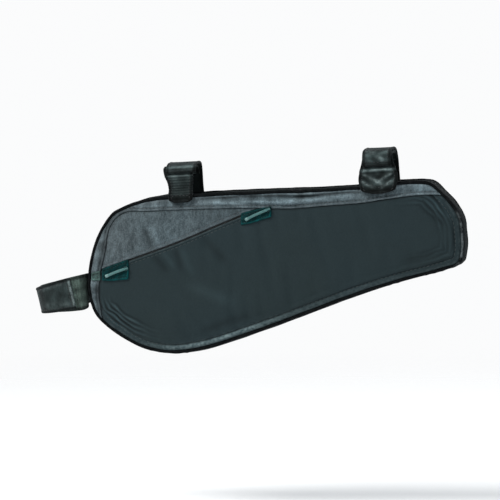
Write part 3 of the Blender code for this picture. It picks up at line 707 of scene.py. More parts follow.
def face_relief(x, z, side, kind):
    """How far the finished surface stands out from the plain half width, and
    where it is rubbed paler, where it carries a painted highlight, and where it
    is paler or darker with painted light and painted shade: soft settling,
    creases, seams, sewn welts, puckers."""
    d_edge, s_edge = nearest_on(x, z, RING, closed=True)
    s = d_edge - SEAM_IN
    calm = 1.0 - drop_off(d_edge - 2.0, 7.0, 1.5)
    out = SETTLED[side](x, z) * calm * taut(x)
    out = out + 0.10 * ripple(x, z, 34.0, 3 + side) * calm
    painted_light_and_tone = np.zeros_like(out)
    # sewn-in edge, the welt beside the piping, and its row of stitches
    belly = stretch(x, -92.0, 2.0, 24.0) * (z < -60.0)
    low = (z < -54.0) * 1.0
    rows = kind in ("main", "far")
    if rows:
        out = out + (0.62 + 0.45 * belly) * bump(s - 3.3, 1.7) - 0.85 * bump(s - 5.6, 0.75)
        out = out + 0.30 * bump(s - 7.6, 1.8)
        out = out - 0.22 * bump(s - 10.6, 0.9) * (0.6 + 0.4 * waves(s_edge, 60.0, 21))
        # further sewn rows where the corners are drawn in
        gather = np.maximum(np.maximum(1.5 * bump(np.hypot(x + 125.0, z + 112.0), 20.0)
                                       * np.clip((-z - 90.0) / 10.0, 0.0, 1.0),
                                       1.2 * bump(np.hypot(x - 126.0, z + 18.0), 18.0)),
                            0.50 * bump(np.hypot(x - 134.0, z + 58.0), 22.0))
        for k, at in enumerate((5.6, 8.9, 12.2, 15.5)):
            line = at + 0.5 * waves(s_edge, 23.0, 61 + k)
            out = out + gather * (0.42 * bump(s - line, 0.9) - 0.34 * bump(s - line - 1.7, 0.7))
            # painted highlight on each gathered row's ridge and painted shade in the groove beside it, stronger low
            # down
            deeper = np.where(z < -88.0, 1.45, 1.0)
            painted_light_and_tone = painted_light_and_tone + gather * deeper * (0.46 * bump(s - line, 1.0) - 0.50 * bump(s - line - 1.7, 0.9))
    else:
        out = out + 0.40 * bump(s - 2.2, 1.3)
    pucker = waves(s_edge, 8.5, 31 + side) * 0.16 + waves(s_edge, 19.0, 37 + side) * 0.22
    out = out + pucker * bump(s - 3.0, 4.5)
    deep = 2.3 * drop_off(s, 2.3)
    # paler along the welt beside the piping, rubbed and with a painted highlight; darker in the stitch groove and
    # next to the seam, painted shade
    rubbed_and_highlit = 0.55 * bump(s - 2.2, 0.9)
    painted_light_and_tone = painted_light_and_tone - 0.35 * bump(s - 5.6, 0.8) * rows - 0.5 * drop_off(s, 1.5)
    if rows:
        # painted highlight along the welt at the belly, fainter along the rest of the bottom edge
        painted_highlight_band = belly + 0.30 * stretch(x, -100.0, 96.0, 20.0) * low
        rubbed_and_highlit = rubbed_and_highlit + 1.05 * painted_highlight_band * bump(s - 3.9, 2.1) * (0.88 + 0.12 * waves(s_edge, 17.0, 23))
        painted_light_and_tone = painted_light_and_tone + 0.55 * painted_highlight_band * bump(s - 3.9, 2.2)
    if side < 0:
        # creases paler on their ridges and darker in their hollows: painted light and painted shade
        fold = creases(x, z) * np.clip((d_edge - 1.5) / 3.0, 0.0, 1.0)
        out = out + fold
        painted_light_and_tone = painted_light_and_tone + (0.60 if kind == "upper" else 0.42) * np.clip(fold, -1.0, 1.0)
        d_seam, s_seam = nearest_on(x, z, SEAM)
        if kind in ("band",):
            # lapped over the panels, turned under, with a row of stitches
            out = out + 0.45 * bump(d_seam - 1.1, 1.1) - 0.42 * bump(d_seam - 2.4, 0.5)
            out = out + 0.12 * waves(s_seam, 9.0, 41) * bump(d_seam - 1.5, 2.4)
            # slack and rolled over itself between the two top straps, with painted light on the rolls and painted
            # shade in the dips
            slack = stretch(x, -60.0, 66.0, 14.0) * (z > -30.0)
            drift = d_edge + 0.9 * waves(x, 46.0, 45) - 0.012 * (x - 4.0)
            out = out + slack * (0.95 * bump(drift - 8.3, 2.1) - 0.80 * bump(drift - 4.4, 0.95)
                                 + 0.35 * bump(drift - 2.4, 0.9))
            painted_light_and_tone = painted_light_and_tone + slack * (0.32 * bump(drift - 8.0, 2.0) - 0.85 * bump(drift - 4.4, 0.95)
                                   + 0.30 * bump(drift - 2.4, 0.8))
            # darker where it stands away from the light at the rear
            rear = (x < -100.0) * np.clip((-x - 100.0) / 22.0, 0.0, 1.0)
            painted_light_and_tone = painted_light_and_tone - 0.30 * rear
            # painted highlight on the band where it stands upright at the rear, painted shade beside its seam
            upright = np.clip((-z - 36.0) / 14.0, 0.0, 1.0) * (x < -120.0)
            painted_light_and_tone = painted_light_and_tone + upright * (0.40 * bump(d_edge - 4.0, 2.0) - 0.55 * drop_off(d_seam, 4.5, 1.2))
            # painted highlight on the band towards the front end, and random paler and darker patches along it
            painted_light_and_tone = painted_light_and_tone + 0.30 * stretch(x, 92.0, 140.0, 10.0)
            painted_light_and_tone = painted_light_and_tone + 0.22 * waves(s_edge, 13.0, 83) * (0.4 + 0.6 * bump(d_edge - 6.0, 4.0))
            deep = np.maximum(deep, 1.3 * drop_off(d_seam, 0.9, 2.0))
            # paler on the lapped edge, rubbed and with a painted highlight; painted shade in the stitch groove
            rubbed_and_highlit = np.maximum(rubbed_and_highlit, 0.8 * bump(d_seam - 0.8, 0.6))
            painted_light_and_tone = painted_light_and_tone - 0.45 * bump(d_seam - 2.4, 0.6)
        elif kind in ("main", "upper"):
            out = out - 0.25 * drop_off(d_seam, 3.0, 1.5)
            out = out + 0.10 * waves(s_seam, 10.0, 43) * bump(d_seam, 6.0)
            # painted shade beside the seam
            painted_light_and_tone = painted_light_and_tone - (0.30 if kind == "upper" else 0.50) * drop_off(d_seam, 2.2, 1.5)
            deep = np.maximum(deep, (0.9 if kind == "upper" else 1.3) * drop_off(d_seam, 1.0, 2.0))
            d_zip, s_zip = nearest_on(x, z, ZIP_CURVE)
            sz = d_zip - ZIP_HALF
            out = out + 0.34 * bump(sz - 0.9, 0.9) - 0.34 * bump(sz - 2.6, 0.5)
            out = out + 0.13 * waves(s_zip, 9.5, 47) * bump(sz - 2.0, 3.0)
            deep = np.maximum(deep, 1.3 * drop_off(sz, 0.75, 2.0))
            # paler along the zip's lips, rubbed and with a painted highlight
            rubbed_and_highlit = np.maximum(rubbed_and_highlit, 0.7 * bump(sz - 0.6, 0.5))
            if kind == "upper":
                painted_light_and_tone = painted_light_and_tone - 0.22 * stretch(x, -58.0, 0.0, 16.0)
    return out - deep, np.clip(rubbed_and_highlit, 0.0, 1.9), np.clip(painted_light_and_tone, -1.6, 1.0)


def face_y(x, z, side, kind):
    rel, rubbed_and_highlit, painted_light_and_tone = face_relief(x, z, side, kind)
    return side * (half_width(x, z) + rel), rubbed_and_highlit, painted_light_and_tone


# -------------------------------------------------------------- mesh helpers
MATERIALS = {}
PIECES = {}


def add_mesh(name, verts, faces, finish, loop_uv=None, attrs=None, sharp=50.0, weld=False):
    mesh = bpy.data.meshes.new(name)
    mesh.from_pydata((np.asarray(verts, float) * MM).tolist(), [],
                     [tuple(int(i) for i in f) for f in faces])
    if loop_uv is not None:
        layer = mesh.uv_layers.new(name="cloth")
        layer.uv.foreach_set("vector", np.asarray(loop_uv, np.float32).ravel())
    for key, val in (attrs or {}).items():
        layer = mesh.attributes.new(key, "FLOAT", "POINT")
        layer.data.foreach_set("value", np.asarray(val, np.float32).ravel())
    v = np.asarray(verts, float)
    tri = []
    for f in faces:
        for k in range(1, len(f) - 1):
            tri.append((f[0], f[k], f[k + 1]))
    tri = np.array(tri)
    vol = np.einsum("ij,ij->i", v[tri[:, 0]], np.cross(v[tri[:, 1]], v[tri[:, 2]])).sum()
    if vol < 0:
        mesh.flip_normals()
    if weld:
        bm = bmesh.new()
        bm.from_mesh(mesh)
        bmesh.ops.remove_doubles(bm, verts=bm.verts, dist=2e-6)
        bmesh.ops.dissolve_degenerate(bm, dist=2e-6, edges=bm.edges)
        bm.to_mesh(mesh)
        bm.free()
    mesh.validate()
    mesh.update()
    mesh.shade_smooth()
    mesh.set_sharp_from_angle(angle=math.radians(sharp))
    obj = bpy.data.objects.new(name, mesh)
    bpy.context.scene.collection.objects.link(obj)
    mesh.materials.append(MATERIALS[finish])
    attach(obj, "root")
    PIECES[name] = obj
    return obj


def sheet_skin(name, outer, inner, uv, finish, attrs=None, weld=False, sharp=50.0):
    """Closed wall between two grids of points, with its cloth map in mm."""
    nu, nv = outer.shape[:2]
    verts = np.vstack([outer.reshape(-1, 3), inner.reshape(-1, 3)])
    half = nu * nv
    idx = np.arange(half).reshape(nu, nv)
    a, b, c, d = idx[:-1, :-1], idx[1:, :-1], idx[1:, 1:], idx[:-1, 1:]
    front = np.stack([a, b, c, d], -1).reshape(-1, 4)
    back = np.stack([a, d, c, b], -1).reshape(-1, 4) + half
    rims = []
    for e0, e1 in ((idx[:-1, 0], idx[1:, 0]), (idx[1:, -1], idx[:-1, -1]),
                   (idx[0, 1:], idx[0, :-1]), (idx[-1, :-1], idx[-1, 1:])):
        rims.append(np.stack([e1, e0, e0 + half, e1 + half], -1))
    faces = np.vstack([front, back] + rims)
    uvs = np.vstack([uv.reshape(-1, 2), uv.reshape(-1, 2)])
    both = {k: np.concatenate([np.ravel(v), np.ravel(v)]) for k, v in (attrs or {}).items()}
    return add_mesh(name, verts, faces, finish, uvs[faces.ravel()], both, sharp, weld)


def tube_mesh(name, grid, u, v, finish, closed, attrs=None, weld=False, sharp=80.0, caps=True):
    """A tube from rings of points, rings by sides; u is the length at each
    ring (one more when closed), v the girth at each side, one more."""
    n, m = grid.shape[:2]
    faces, uvs = [], []
    for i in range(n if closed else n - 1):
        i2 = (i + 1) % n
        for k in range(m):
            k2 = (k + 1) % m
            faces.append((i * m + k, i * m + k2, i2 * m + k2, i2 * m + k))
            uvs += [(u[i], v[k]), (u[i], v[k + 1]), (u[i + 1], v[k + 1]), (u[i + 1], v[k])]
    if not closed and caps:
        faces.append(tuple(range(m))[::-1])
        uvs += [(u[0], v[k]) for k in range(m)][::-1]
        faces.append(tuple((n - 1) * m + k for k in range(m)))
        uvs += [(u[-1], v[k]) for k in range(m)]
    return add_mesh(name, grid.reshape(-1, 3), faces, finish, uvs, attrs, sharp, weld)


def joined(parts):
    """Joins lists of (verts, faces) into one."""
    verts, faces, base = [], [], 0
    for v, f in parts:
        verts.append(v)
        faces += [tuple(i + base for i in g) for g in f]
        base += len(v)
    return np.vstack(verts), faces


STITCH_SIDES = 6


def stitches(points, normals, length=2.5, gap=0.9, radius=0.27, lift=0.10, start=0.0, seed=1):
    """Threads of a sewn row along a line on the cloth: each stitch comes up
    out of its hole, lies on the cloth and goes down into the next."""
    rng = np.random.RandomState(seed)
    s = arc_of(points)
    at = lambda q: np.stack([np.interp(q, s, points[:, k]) for k in range(3)], -1)
    nr = lambda q: np.stack([np.interp(q, s, normals[:, k]) for k in range(3)], -1)
    parts = []
    place = start
    while place + length < s[-1]:
        q = place + length * np.array([0.0, 0.12, 0.38, 0.68, 0.90, 1.0])
        c, n = at(q), nr(q)
        n /= np.linalg.norm(n, axis=1)[:, None]
        t = np.gradient(c, axis=0)
        t /= np.linalg.norm(t, axis=1)[:, None]
        b = np.cross(t, n)
        high = np.array([-0.42, 0.02, lift, lift, 0.02, -0.42])
        thick = radius * np.array([0.55, 0.95, 1.0, 1.0, 0.95, 0.55])
        skew = rng.uniform(-0.07, 0.07)
        c = c + n * high[:, None] + b * (np.linspace(-1, 1, 6) * skew)[:, None]
        ring = []
        for k in range(STITCH_SIDES):
            a = 2 * PI * k / STITCH_SIDES
            ring.append(c + thick[:, None] * (math.cos(a) * n * 0.8 + math.sin(a) * b))
        g = np.stack(ring, 1)
        v = g.reshape(-1, 3)
        f = []
        for i in range(5):
            for k in range(STITCH_SIDES):
                k2 = (k + 1) % STITCH_SIDES
                f.append((i * STITCH_SIDES + k, i * STITCH_SIDES + k2,
                          (i + 1) * STITCH_SIDES + k2, (i + 1) * STITCH_SIDES + k))
        f.append(tuple(range(STITCH_SIDES))[::-1])
        f.append(tuple(5 * STITCH_SIDES + k for k in range(STITCH_SIDES)))
        parts.append((v, f))
        place += length + gap
    return parts


def face_row(line, side, kind, lift=0.0, **how):
    """A row of stitches along (x, z) points of a face."""
    line = resample(line, max(20, int(arc_of(line)[-1] / 0.6)))
    x, z = line[:, 0], line[:, 1]
    y = face_y(x, z, side, kind)[0]
    e = 0.8
    yx = (face_y(x + e, z, side, kind)[0] - face_y(x - e, z, side, kind)[0]) / (2 * e)
    yz = (face_y(x, z + e, side, kind)[0] - face_y(x, z - e, side, kind)[0]) / (2 * e)
    n = np.stack([-yx, np.ones_like(x), -yz], -1) * side
    n /= np.linalg.norm(n, axis=1)[:, None]
    p = np.stack([x, y, z], -1) + n * lift
    return stitches(p, n, **how)


# ----------------------------------------------------------------- materials
class Mat:
    """A material under construction, with short names for its nodes."""

    def __init__(self, name):
        self.m = bpy.data.materials.new(name)
        self.m.use_nodes = True
        self.t = self.m.node_tree
        self.shader = self.t.nodes["Principled BSDF"]
        MATERIALS[name] = self.m

    def node(self, kind, **props):
        n = self.t.nodes.new(kind)
        for k, v in props.items():
            setattr(n, k, v)
        return n

    def put(self, socket, value):
        if isinstance(value, bpy.types.NodeSocket):
            self.t.links.new(value, socket)
        else:
            socket.default_value = value

    def math(self, op, a, b=0.0, c=0.0, clamp=False):
        n = self.node("ShaderNodeMath", operation=op, use_clamp=clamp)
        for k, v in enumerate((a, b, c)):
            if k < len(n.inputs):
                self.put(n.inputs[k], v)
        return n.outputs[0]

    def mul(self, a, b):
        return self.math("MULTIPLY", a, b)

    def add(self, a, b):
        return self.math("ADD", a, b)

    def vec(self, x, y, z=0.0):
        n = self.node("ShaderNodeCombineXYZ")
        for k, v in enumerate((x, y, z)):
            self.put(n.inputs[k], v)
        return n.outputs[0]

    def split(self, v):
        n = self.node("ShaderNodeSeparateXYZ")
        self.put(n.inputs[0], v)
        return n.outputs

    def noise(self, vector, scale, detail=2.0, rough=0.5, colour=False):
        n = self.node("ShaderNodeTexNoise")
        self.put(n.inputs["Vector"], vector)
        n.inputs["Scale"].default_value = scale
        n.inputs["Detail"].default_value = detail
        n.inputs["Roughness"].default_value = rough
        return n.outputs["Color" if colour else 0]

    def white(self, vector):
        n = self.node("ShaderNodeTexWhiteNoise", noise_dimensions="3D")
        self.put(n.inputs["Vector"], vector)
        return n.outputs["Value"]

    def range(self, v, a, b, c=0.0, d=1.0, smooth_step=False):
        n = self.node("ShaderNodeMapRange", clamp=True,
                      interpolation_type="SMOOTHSTEP" if smooth_step else "LINEAR")
        self.put(n.inputs[0], v)
        for k, x in enumerate((a, b, c, d)):
            self.put(n.inputs[k + 1], x)
        return n.outputs[0]

    def mix(self, f, a, b, how="MIX"):
        n = self.node("ShaderNodeMix", data_type="RGBA", blend_type=how)
        self.put(n.inputs[0], f)
        for k, v in ((6, a), (7, b)):
            if isinstance(v, bpy.types.NodeSocket):
                self.t.links.new(v, n.inputs[k])
            else:
                n.inputs[k].default_value = (*v, 1.0)
        return n.outputs[2]

    def uv(self):
        n = self.node("ShaderNodeUVMap", uv_map="cloth")
        return n.outputs[0]

    def place(self):
        """Object coordinates in mm."""
        n = self.node("ShaderNodeTexCoord")
        v = self.node("ShaderNodeVectorMath", operation="SCALE")
        self.put(v.inputs[0], n.outputs["Object"])
        v.inputs["Scale"].default_value = 1000.0
        return v.outputs[0]

    def attr(self, name):
        n = self.node("ShaderNodeAttribute", attribute_name=name)
        return n.outputs["Fac"]

    def bump(self, height, distance, strength=1.0, normal=None):
        n = self.node("ShaderNodeBump")
        n.inputs["Strength"].default_value = strength
        n.inputs["Distance"].default_value = distance
        self.put(n.inputs["Height"], height)
        if normal is not None:
            self.put(n.inputs["Normal"], normal)
        return n.outputs[0]

    def finish(self, colour, rough, normal=None, **constants):
        self.put(self.shader.inputs["Base Color"], colour)
        self.put(self.shader.inputs["Roughness"], rough)
        if normal is not None:
            self.put(self.shader.inputs["Normal"], normal)
        for k, v in constants.items():
            self.shader.inputs[k.replace("_", " ")].default_value = v


def weave(m, u, v, pitch, place, wobble=0.16):
    """Plain weave of yarns pitch mm wide: its height, 0 to 1, the number of
    the yarn on top in each direction, and whether the warp is on top."""
    w = m.split(m.noise(place, 0.22, 1.0, colour=True))
    a = m.add(m.math("DIVIDE", u, pitch), m.mul(m.math("SUBTRACT", w[0], 0.5), wobble * 4))
    b = m.add(m.math("DIVIDE", v, pitch), m.mul(m.math("SUBTRACT", w[1], 0.5), wobble * 4))
    i, j = m.math("FLOOR", a), m.math("FLOOR", b)
    fa = m.math("ABSOLUTE", m.math("SINE", m.mul(a, PI)))
    fb = m.math("ABSOLUTE", m.math("SINE", m.mul(b, PI)))
    ca = m.math("COSINE", m.mul(m.add(m.add(b, -0.5), i), PI))
    cb = m.math("COSINE", m.mul(m.add(m.add(a, -0.5), j), PI))
    ha = m.mul(fa, m.add(m.mul(ca, 0.5), 0.5))
    hb = m.mul(fb, m.add(m.mul(cb, -0.5), 0.5))
    top = m.math("GREATER_THAN", ha, hb)
    return m.math("MAXIMUM", ha, hb), a, b, i, j, top


def cloth_material(name, dark, light, pitch, blend, streak=(2.6, 5.5), contrast=(0.30, 0.72),
                   rough=0.82, sheen=0.12, depth=0.00016, wear_and_highlight=(0.10, 0.12, 0.125),
                   wear_and_highlight_amount=0.25, spec=0.22, cloud=0.12, dye=None, fuzz=0.0, heather=0.0,
                   shed=(0.80, 0.92, 0.95)):
    """Woven cloth: yarns of two colours, each with streaks along it, soft clouds of
    colour, fibres, painted shade in the hollows of the weave, and a pale colour
    mixed in where the surface is rubbed and where it carries painted highlights.
    blend is how far the yarns' colours part, heather how strong the blotches and
    flecks of a marled cloth are.  The lightness attribute carries painted light,
    painted shade and some random variation: it darkens below 0 and lightens above it."""
    m = Mat(name)
    uv = m.uv()
    u, v, _ = m.split(uv)
    place = m.place()
    height, a, b, i, j, top = weave(m, u, v, pitch, place)
    warp = m.noise(m.vec(m.mul(i, 5.17), m.math("DIVIDE", b, streak[1]), 3.0), 1.0, 2.0, 0.6)
    weft = m.noise(m.vec(m.math("DIVIDE", a, streak[0]), m.mul(j, 4.31), 11.0), 1.0, 2.0, 0.6)
    yarn = m.node("ShaderNodeMix", data_type="FLOAT")
    m.put(yarn.inputs[0], top)
    m.put(yarn.inputs[2], weft)
    m.put(yarn.inputs[3], warp)
    f = m.range(yarn.outputs[0], contrast[0], contrast[1])
    fibre = m.noise(m.vec(m.mul(u, 1.0), m.mul(v, 1.0), 0.0), 5.0, 3.0, 0.7)
    f = m.add(m.mul(f, blend), m.mul(m.math("SUBTRACT", fibre, 0.5), 0.25 * blend))
    mean = (1.0 - blend) * 0.5
    f = m.math("ADD", f, mean, clamp=True)
    colour = m.mix(f, dark, light)
    clouds = m.noise(place, 0.035, 3.0, 0.6)
    colour = m.mix(1.0, colour, m.mix(clouds, (1 - cloud,) * 3, (1 + cloud,) * 3), "MULTIPLY")
    if heather:
        px, py, pz = m.split(place)
        tall = m.noise(m.vec(m.mul(px, 0.34), m.mul(py, 0.3), m.mul(pz, 0.19)), 1.0, 3.0, 0.62)
        short = m.noise(m.vec(m.mul(px, 1.1), m.mul(py, 0.9), m.mul(pz, 0.60)), 1.0, 2.0, 0.6)
        mottle = m.add(m.mul(m.range(tall, 0.34, 0.66), 0.60), m.mul(m.range(short, 0.30, 0.70), 0.40))
        colour = m.mix(1.0, colour, m.mix(mottle, (1 - heather,) * 3, (1 + heather,) * 3), "MULTIPLY")
    if dye is not None:
        tint = m.noise(place, 0.012, 2.0, 0.5)
        colour = m.mix(m.range(tint, 0.35, 0.65), colour, m.mix(1.0, colour, dye, "MULTIPLY"))
    # painted shade: the cloth is darker in the hollows of the weave
    shade = m.range(height, 0.0, 0.55, 0.62, 1.0)
    grey = m.node("ShaderNodeCombineColor")
    for k in range(3):
        m.put(grey.inputs[k], shade)
    colour = m.mix(1.0, colour, grey.outputs[0], "MULTIPLY")
    # mix factor for the pale colour: rubbed places and painted highlights
    rub_and_highlight = m.mul(m.mul(m.attr("wear_and_highlight"), wear_and_highlight_amount),
                m.range(m.noise(place, 0.30, 3.0, 0.7), 0.35, 0.65))
    colour = m.mix(rub_and_highlight, colour, wear_and_highlight)
    # lightness from the mesh: painted light and painted shade, with some random variation
    painted_light_and_tone = m.math("POWER", 2.0, m.mul(m.attr("painted_light_and_tone"), 1.6))
    both = m.node("ShaderNodeVectorMath", operation="SCALE")
    m.put(both.inputs[0], colour)
    m.put(both.inputs["Scale"], painted_light_and_tone)
    colour = both.outputs[0]
    lumps = m.noise(place, 0.55, 3.0, 0.6)
    normal = m.bump(lumps, 0.00022, 0.6)
    normal = m.bump(height, depth, 1.0, normal)
    if fuzz:
        fine = m.noise(place, 3.2, 4.0, 0.75)
        normal = m.bump(fine, 0.00025, fuzz, normal)
    rough_s = m.range(f, 0.0, 1.0, rough - 0.06, rough + 0.06)
    m.finish(colour, rough_s, normal, Sheen_Weight=sheen, Sheen_Roughness=0.45,
             Specular_IOR_Level=spec)
    m.shader.inputs["Sheen Tint"].default_value = (*shed, 1.0)
    return m


def make_materials():
    # the pale second colour of each cloth is mixed in where it is rubbed and where it carries painted highlights:
    # welts and seam ridges, the piping, the straps' ridges
    cloth_material("charcoal_cloth", (0.0150, 0.0262, 0.0292), (0.0245, 0.0388, 0.0418), 0.62,
                   0.55, sheen=0.05, rough=0.80, wear_and_highlight=(0.105, 0.140, 0.145), wear_and_highlight_amount=0.55,
                   dye=(0.96, 1.0, 1.05), cloud=0.08, spec=0.14)
    # the gusset cloth is made darker than the charcoal panels partly as painted shade, for the gusset that is seen
    # turned away from the light
    cloth_material("gusset_cloth", (0.0040, 0.0056, 0.0062), (0.0085, 0.0115, 0.0125), 0.62,
                   0.55, sheen=0.02, rough=0.85, wear_and_highlight=(0.050, 0.060, 0.064), wear_and_highlight_amount=0.22,
                   spec=0.08)
    cloth_material("heather_cloth", (0.0340, 0.0470, 0.0530), (0.1420, 0.1760, 0.1900), 0.46,
                   0.75, streak=(3.6, 5.2), contrast=(0.30, 0.70), sheen=0.04, rough=0.88,
                   wear_and_highlight=(0.24, 0.28, 0.30), wear_and_highlight_amount=0.45, cloud=0.14, spec=0.12, heather=0.42,
                   dye=(0.94, 1.02, 1.05))
    cloth_material("strap_cloth", (0.0110, 0.0165, 0.0168), (0.0310, 0.0430, 0.0430), 0.70, 0.5,
                   sheen=0.07, rough=0.90, wear_and_highlight=(0.17, 0.21, 0.21), wear_and_highlight_amount=0.72, fuzz=0.8,
                   depth=0.00010, spec=0.10, cloud=0.18, heather=0.20)
    cloth_material("tab_cloth", (0.0320, 0.0490, 0.0420), (0.1020, 0.1450, 0.1260), 0.70, 0.5,
                   sheen=0.08, rough=0.90, wear_and_highlight=(0.13, 0.15, 0.13), wear_and_highlight_amount=0.6, fuzz=0.8,
                   depth=0.00010, spec=0.10, cloud=0.20, heather=0.30)
    cloth_material("teal_cloth", (0.0002, 0.0150, 0.0170), (0.0006, 0.0530, 0.0560), 0.50, 0.6,
                   sheen=0.01, rough=0.66, wear_and_highlight=(0.004, 0.130, 0.135), wear_and_highlight_amount=0.30,
                   depth=0.00009, spec=0.10)
    cloth_material("end_tab_cloth", (0.0180, 0.0400, 0.0370), (0.0800, 0.1450, 0.1330), 0.50, 0.6,
                   sheen=0.04, rough=0.80, wear_and_highlight=(0.13, 0.20, 0.18), wear_and_highlight_amount=0.30,
                   depth=0.00009, spec=0.15, heather=0.20)
    # the piping's pale colour is a painted highlight on its near side and front end
    cloth_material("black_piping", (0.0020, 0.0026, 0.0030), (0.0052, 0.0062, 0.0068), 0.55, 0.6,
                   sheen=0.0, rough=0.86, wear_and_highlight=(0.120, 0.138, 0.144), wear_and_highlight_amount=0.30,
                   depth=0.00010, spec=0.03)
    # thread: twisted plies, paler on their crests and darker between them, painted shade
    for name, low, high in (("thread_dark", (0.017, 0.026, 0.028), (0.048, 0.066, 0.070)),
                            ("thread_grey", (0.045, 0.056, 0.062), (0.120, 0.140, 0.150)),
                            ("thread_black", (0.008, 0.009, 0.010), (0.030, 0.034, 0.036)),
                            ("thread_teal", (0.003, 0.028, 0.030), (0.008, 0.070, 0.072))):
        m = Mat(name)
        place = m.place()
        x, y, z = m.split(place)
        ply = m.math("SINE", m.mul(m.add(m.add(x, z), m.mul(y, 0.7)), 9.0))
        f = m.range(m.add(ply, m.noise(place, 3.0)), -0.6, 1.6)
        m.finish(m.mix(f, low, high), m.range(f, 0, 1, 0.65, 0.5),
                 m.bump(ply, 0.00006), Sheen_Weight=0.1, Specular_IOR_Level=0.3)
    # cord: braided strands in two tones
    m = Mat("turquoise_cord")
    u, v, _ = m.split(m.uv())
    left = m.math("SINE", m.mul(m.add(m.mul(u, 1.35), v), 2 * PI))
    right = m.math("SINE", m.mul(m.math("SUBTRACT", m.mul(u, 1.35), v), 2 * PI))
    braid = m.mul(left, right)
    f = m.range(braid, -0.8, 0.8)
    fleck = m.noise(m.place(), 1.6, 3.0, 0.7)
    f2 = m.math("ADD", m.mul(f, 0.6), m.mul(fleck, 0.45), clamp=True)
    m.finish(m.mix(f2, (0.030, 0.130, 0.128), (0.135, 0.310, 0.305)), 0.55,
             m.bump(braid, 0.00016), Sheen_Weight=0.15, Specular_IOR_Level=0.35)
    m = Mat("turquoise_tip")
    speck = m.noise(m.place(), 1.2, 3.0, 0.6)
    m.finish(m.mix(speck, (0.100, 0.205, 0.200), (0.175, 0.300, 0.295)),
             m.range(speck, 0.3, 0.7, 0.30, 0.42), m.bump(speck, 0.00006),
             Specular_IOR_Level=0.5)
    # zip: woven tape and moulded coil
    cloth_material("zip_tape", (0.0040, 0.0050, 0.0056), (0.0110, 0.0130, 0.0140), 0.42, 0.6,
                   sheen=0.05, rough=0.7, depth=0.00008, spec=0.2, wear_and_highlight_amount=0.1)
    m = Mat("zip_coil")
    speck = m.noise(m.place(), 0.9, 3.0, 0.6)
    m.finish(m.mix(speck, (0.006, 0.007, 0.008), (0.018, 0.021, 0.022)),
             m.range(speck, 0.3, 0.7, 0.34, 0.50), m.bump(speck, 0.00005),
             Specular_IOR_Level=0.45)


make_materials()


# --------------------------------------------------------------- side panels
def wall_under(outer, side, shares_u, shares_v, wall=WALL):
    """The inner face of a panel's wall, thinner where its edge is sewn in."""
    d = np.minimum(np.minimum(shares_u, 1 - shares_u)[:, None] * 40,
                   np.minimum(shares_v, 1 - shares_v)[None, :] * 20)
    t = 0.7 + (wall - 0.7) * np.clip(d, 0, 1)
    inner = outer.copy()
    inner[..., 1] -= side * t
    return inner


def panel(name, grid, us, vs, side, kind, finish):
    y, wear_and_highlight, painted_light_and_tone = face_y(grid[..., 0], grid[..., 1], side, kind)
    outer = np.stack([grid[..., 0], y, grid[..., 1]], -1)
    inner = wall_under(outer, side, us, vs)
    obj = sheet_skin(name, outer, inner, grid, finish, {"wear_and_highlight": wear_and_highlight, "painted_light_and_tone": painted_light_and_tone}, weld=True)
    return obj


def make_main():
    us, vs = crowd(230, 0.02), crowd(84, 0.035)
    bottom = ring_between(SEWN, REAR_END, (142.4, -63.9))
    right = ring_between(SEWN, (142.4, -63.9), FRONT_END)
    left = between(SEAM, REAR_END, LOW_REAR)
    top = np.vstack([between(ZIP_LOW, LOW_REAR, LOW_FRONT), between(SEAM, LOW_FRONT, FRONT_END)[1:]])
    grid = coons(bottom, top, left, right, us, vs)
    obj = panel("main_panel", grid, us, vs, -1, "main", "charcoal_cloth")
    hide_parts("panel_main_near")


def make_upper():
    us, vs = crowd(130, 0.03), crowd(44, 0.05)
    shoulder = SEAM[nearest_index(SEAM, -126.4, -31.0)]
    end = SEAM[nearest_index(SEAM, HIGH_FRONT[0] - 1.5, HIGH_FRONT[1])]
    low_end = ZIP_HIGH[nearest_index(ZIP_HIGH, HIGH_FRONT[0] - 1.5, HIGH_FRONT[1] - 0.5)]
    bottom = between(ZIP_HIGH, HIGH_REAR, low_end)
    top = between(SEAM, shoulder, end)
    left = between(SEAM, HIGH_REAR, shoulder)
    right = np.linspace(low_end, end, 12)
    grid = coons(bottom, top, left, right, us, vs)
    obj = panel("upper_panel", grid, us, vs, -1, "upper", "heather_cloth")
    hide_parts("panel_upper_near")


def make_band():
    nu = 430
    us, vs = np.linspace(0, 1, nu + 1), crowd(18, 0.10)
    outer = resample(ring_between(SEWN, FRONT_END, REAR_END), nu, bend=8.0)
    inner = resample(SEAM[::-1], nu, bend=8.0)
    grid = outer[:, None, :] + (inner - outer)[:, None, :] * vs[None, :, None]
    obj = panel("edge_band", grid, us, vs, -1, "band", "heather_cloth")
    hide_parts("band_near")


def make_far():
    us, vs = crowd(230, 0.02), crowd(84, 0.035)
    grid = face_grid(us, vs, SEWN)
    obj = panel("far_panel", grid, us, vs, 1, "far", "charcoal_cloth")
    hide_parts("panel_far")


make_main()
make_upper()
make_band()
make_far()


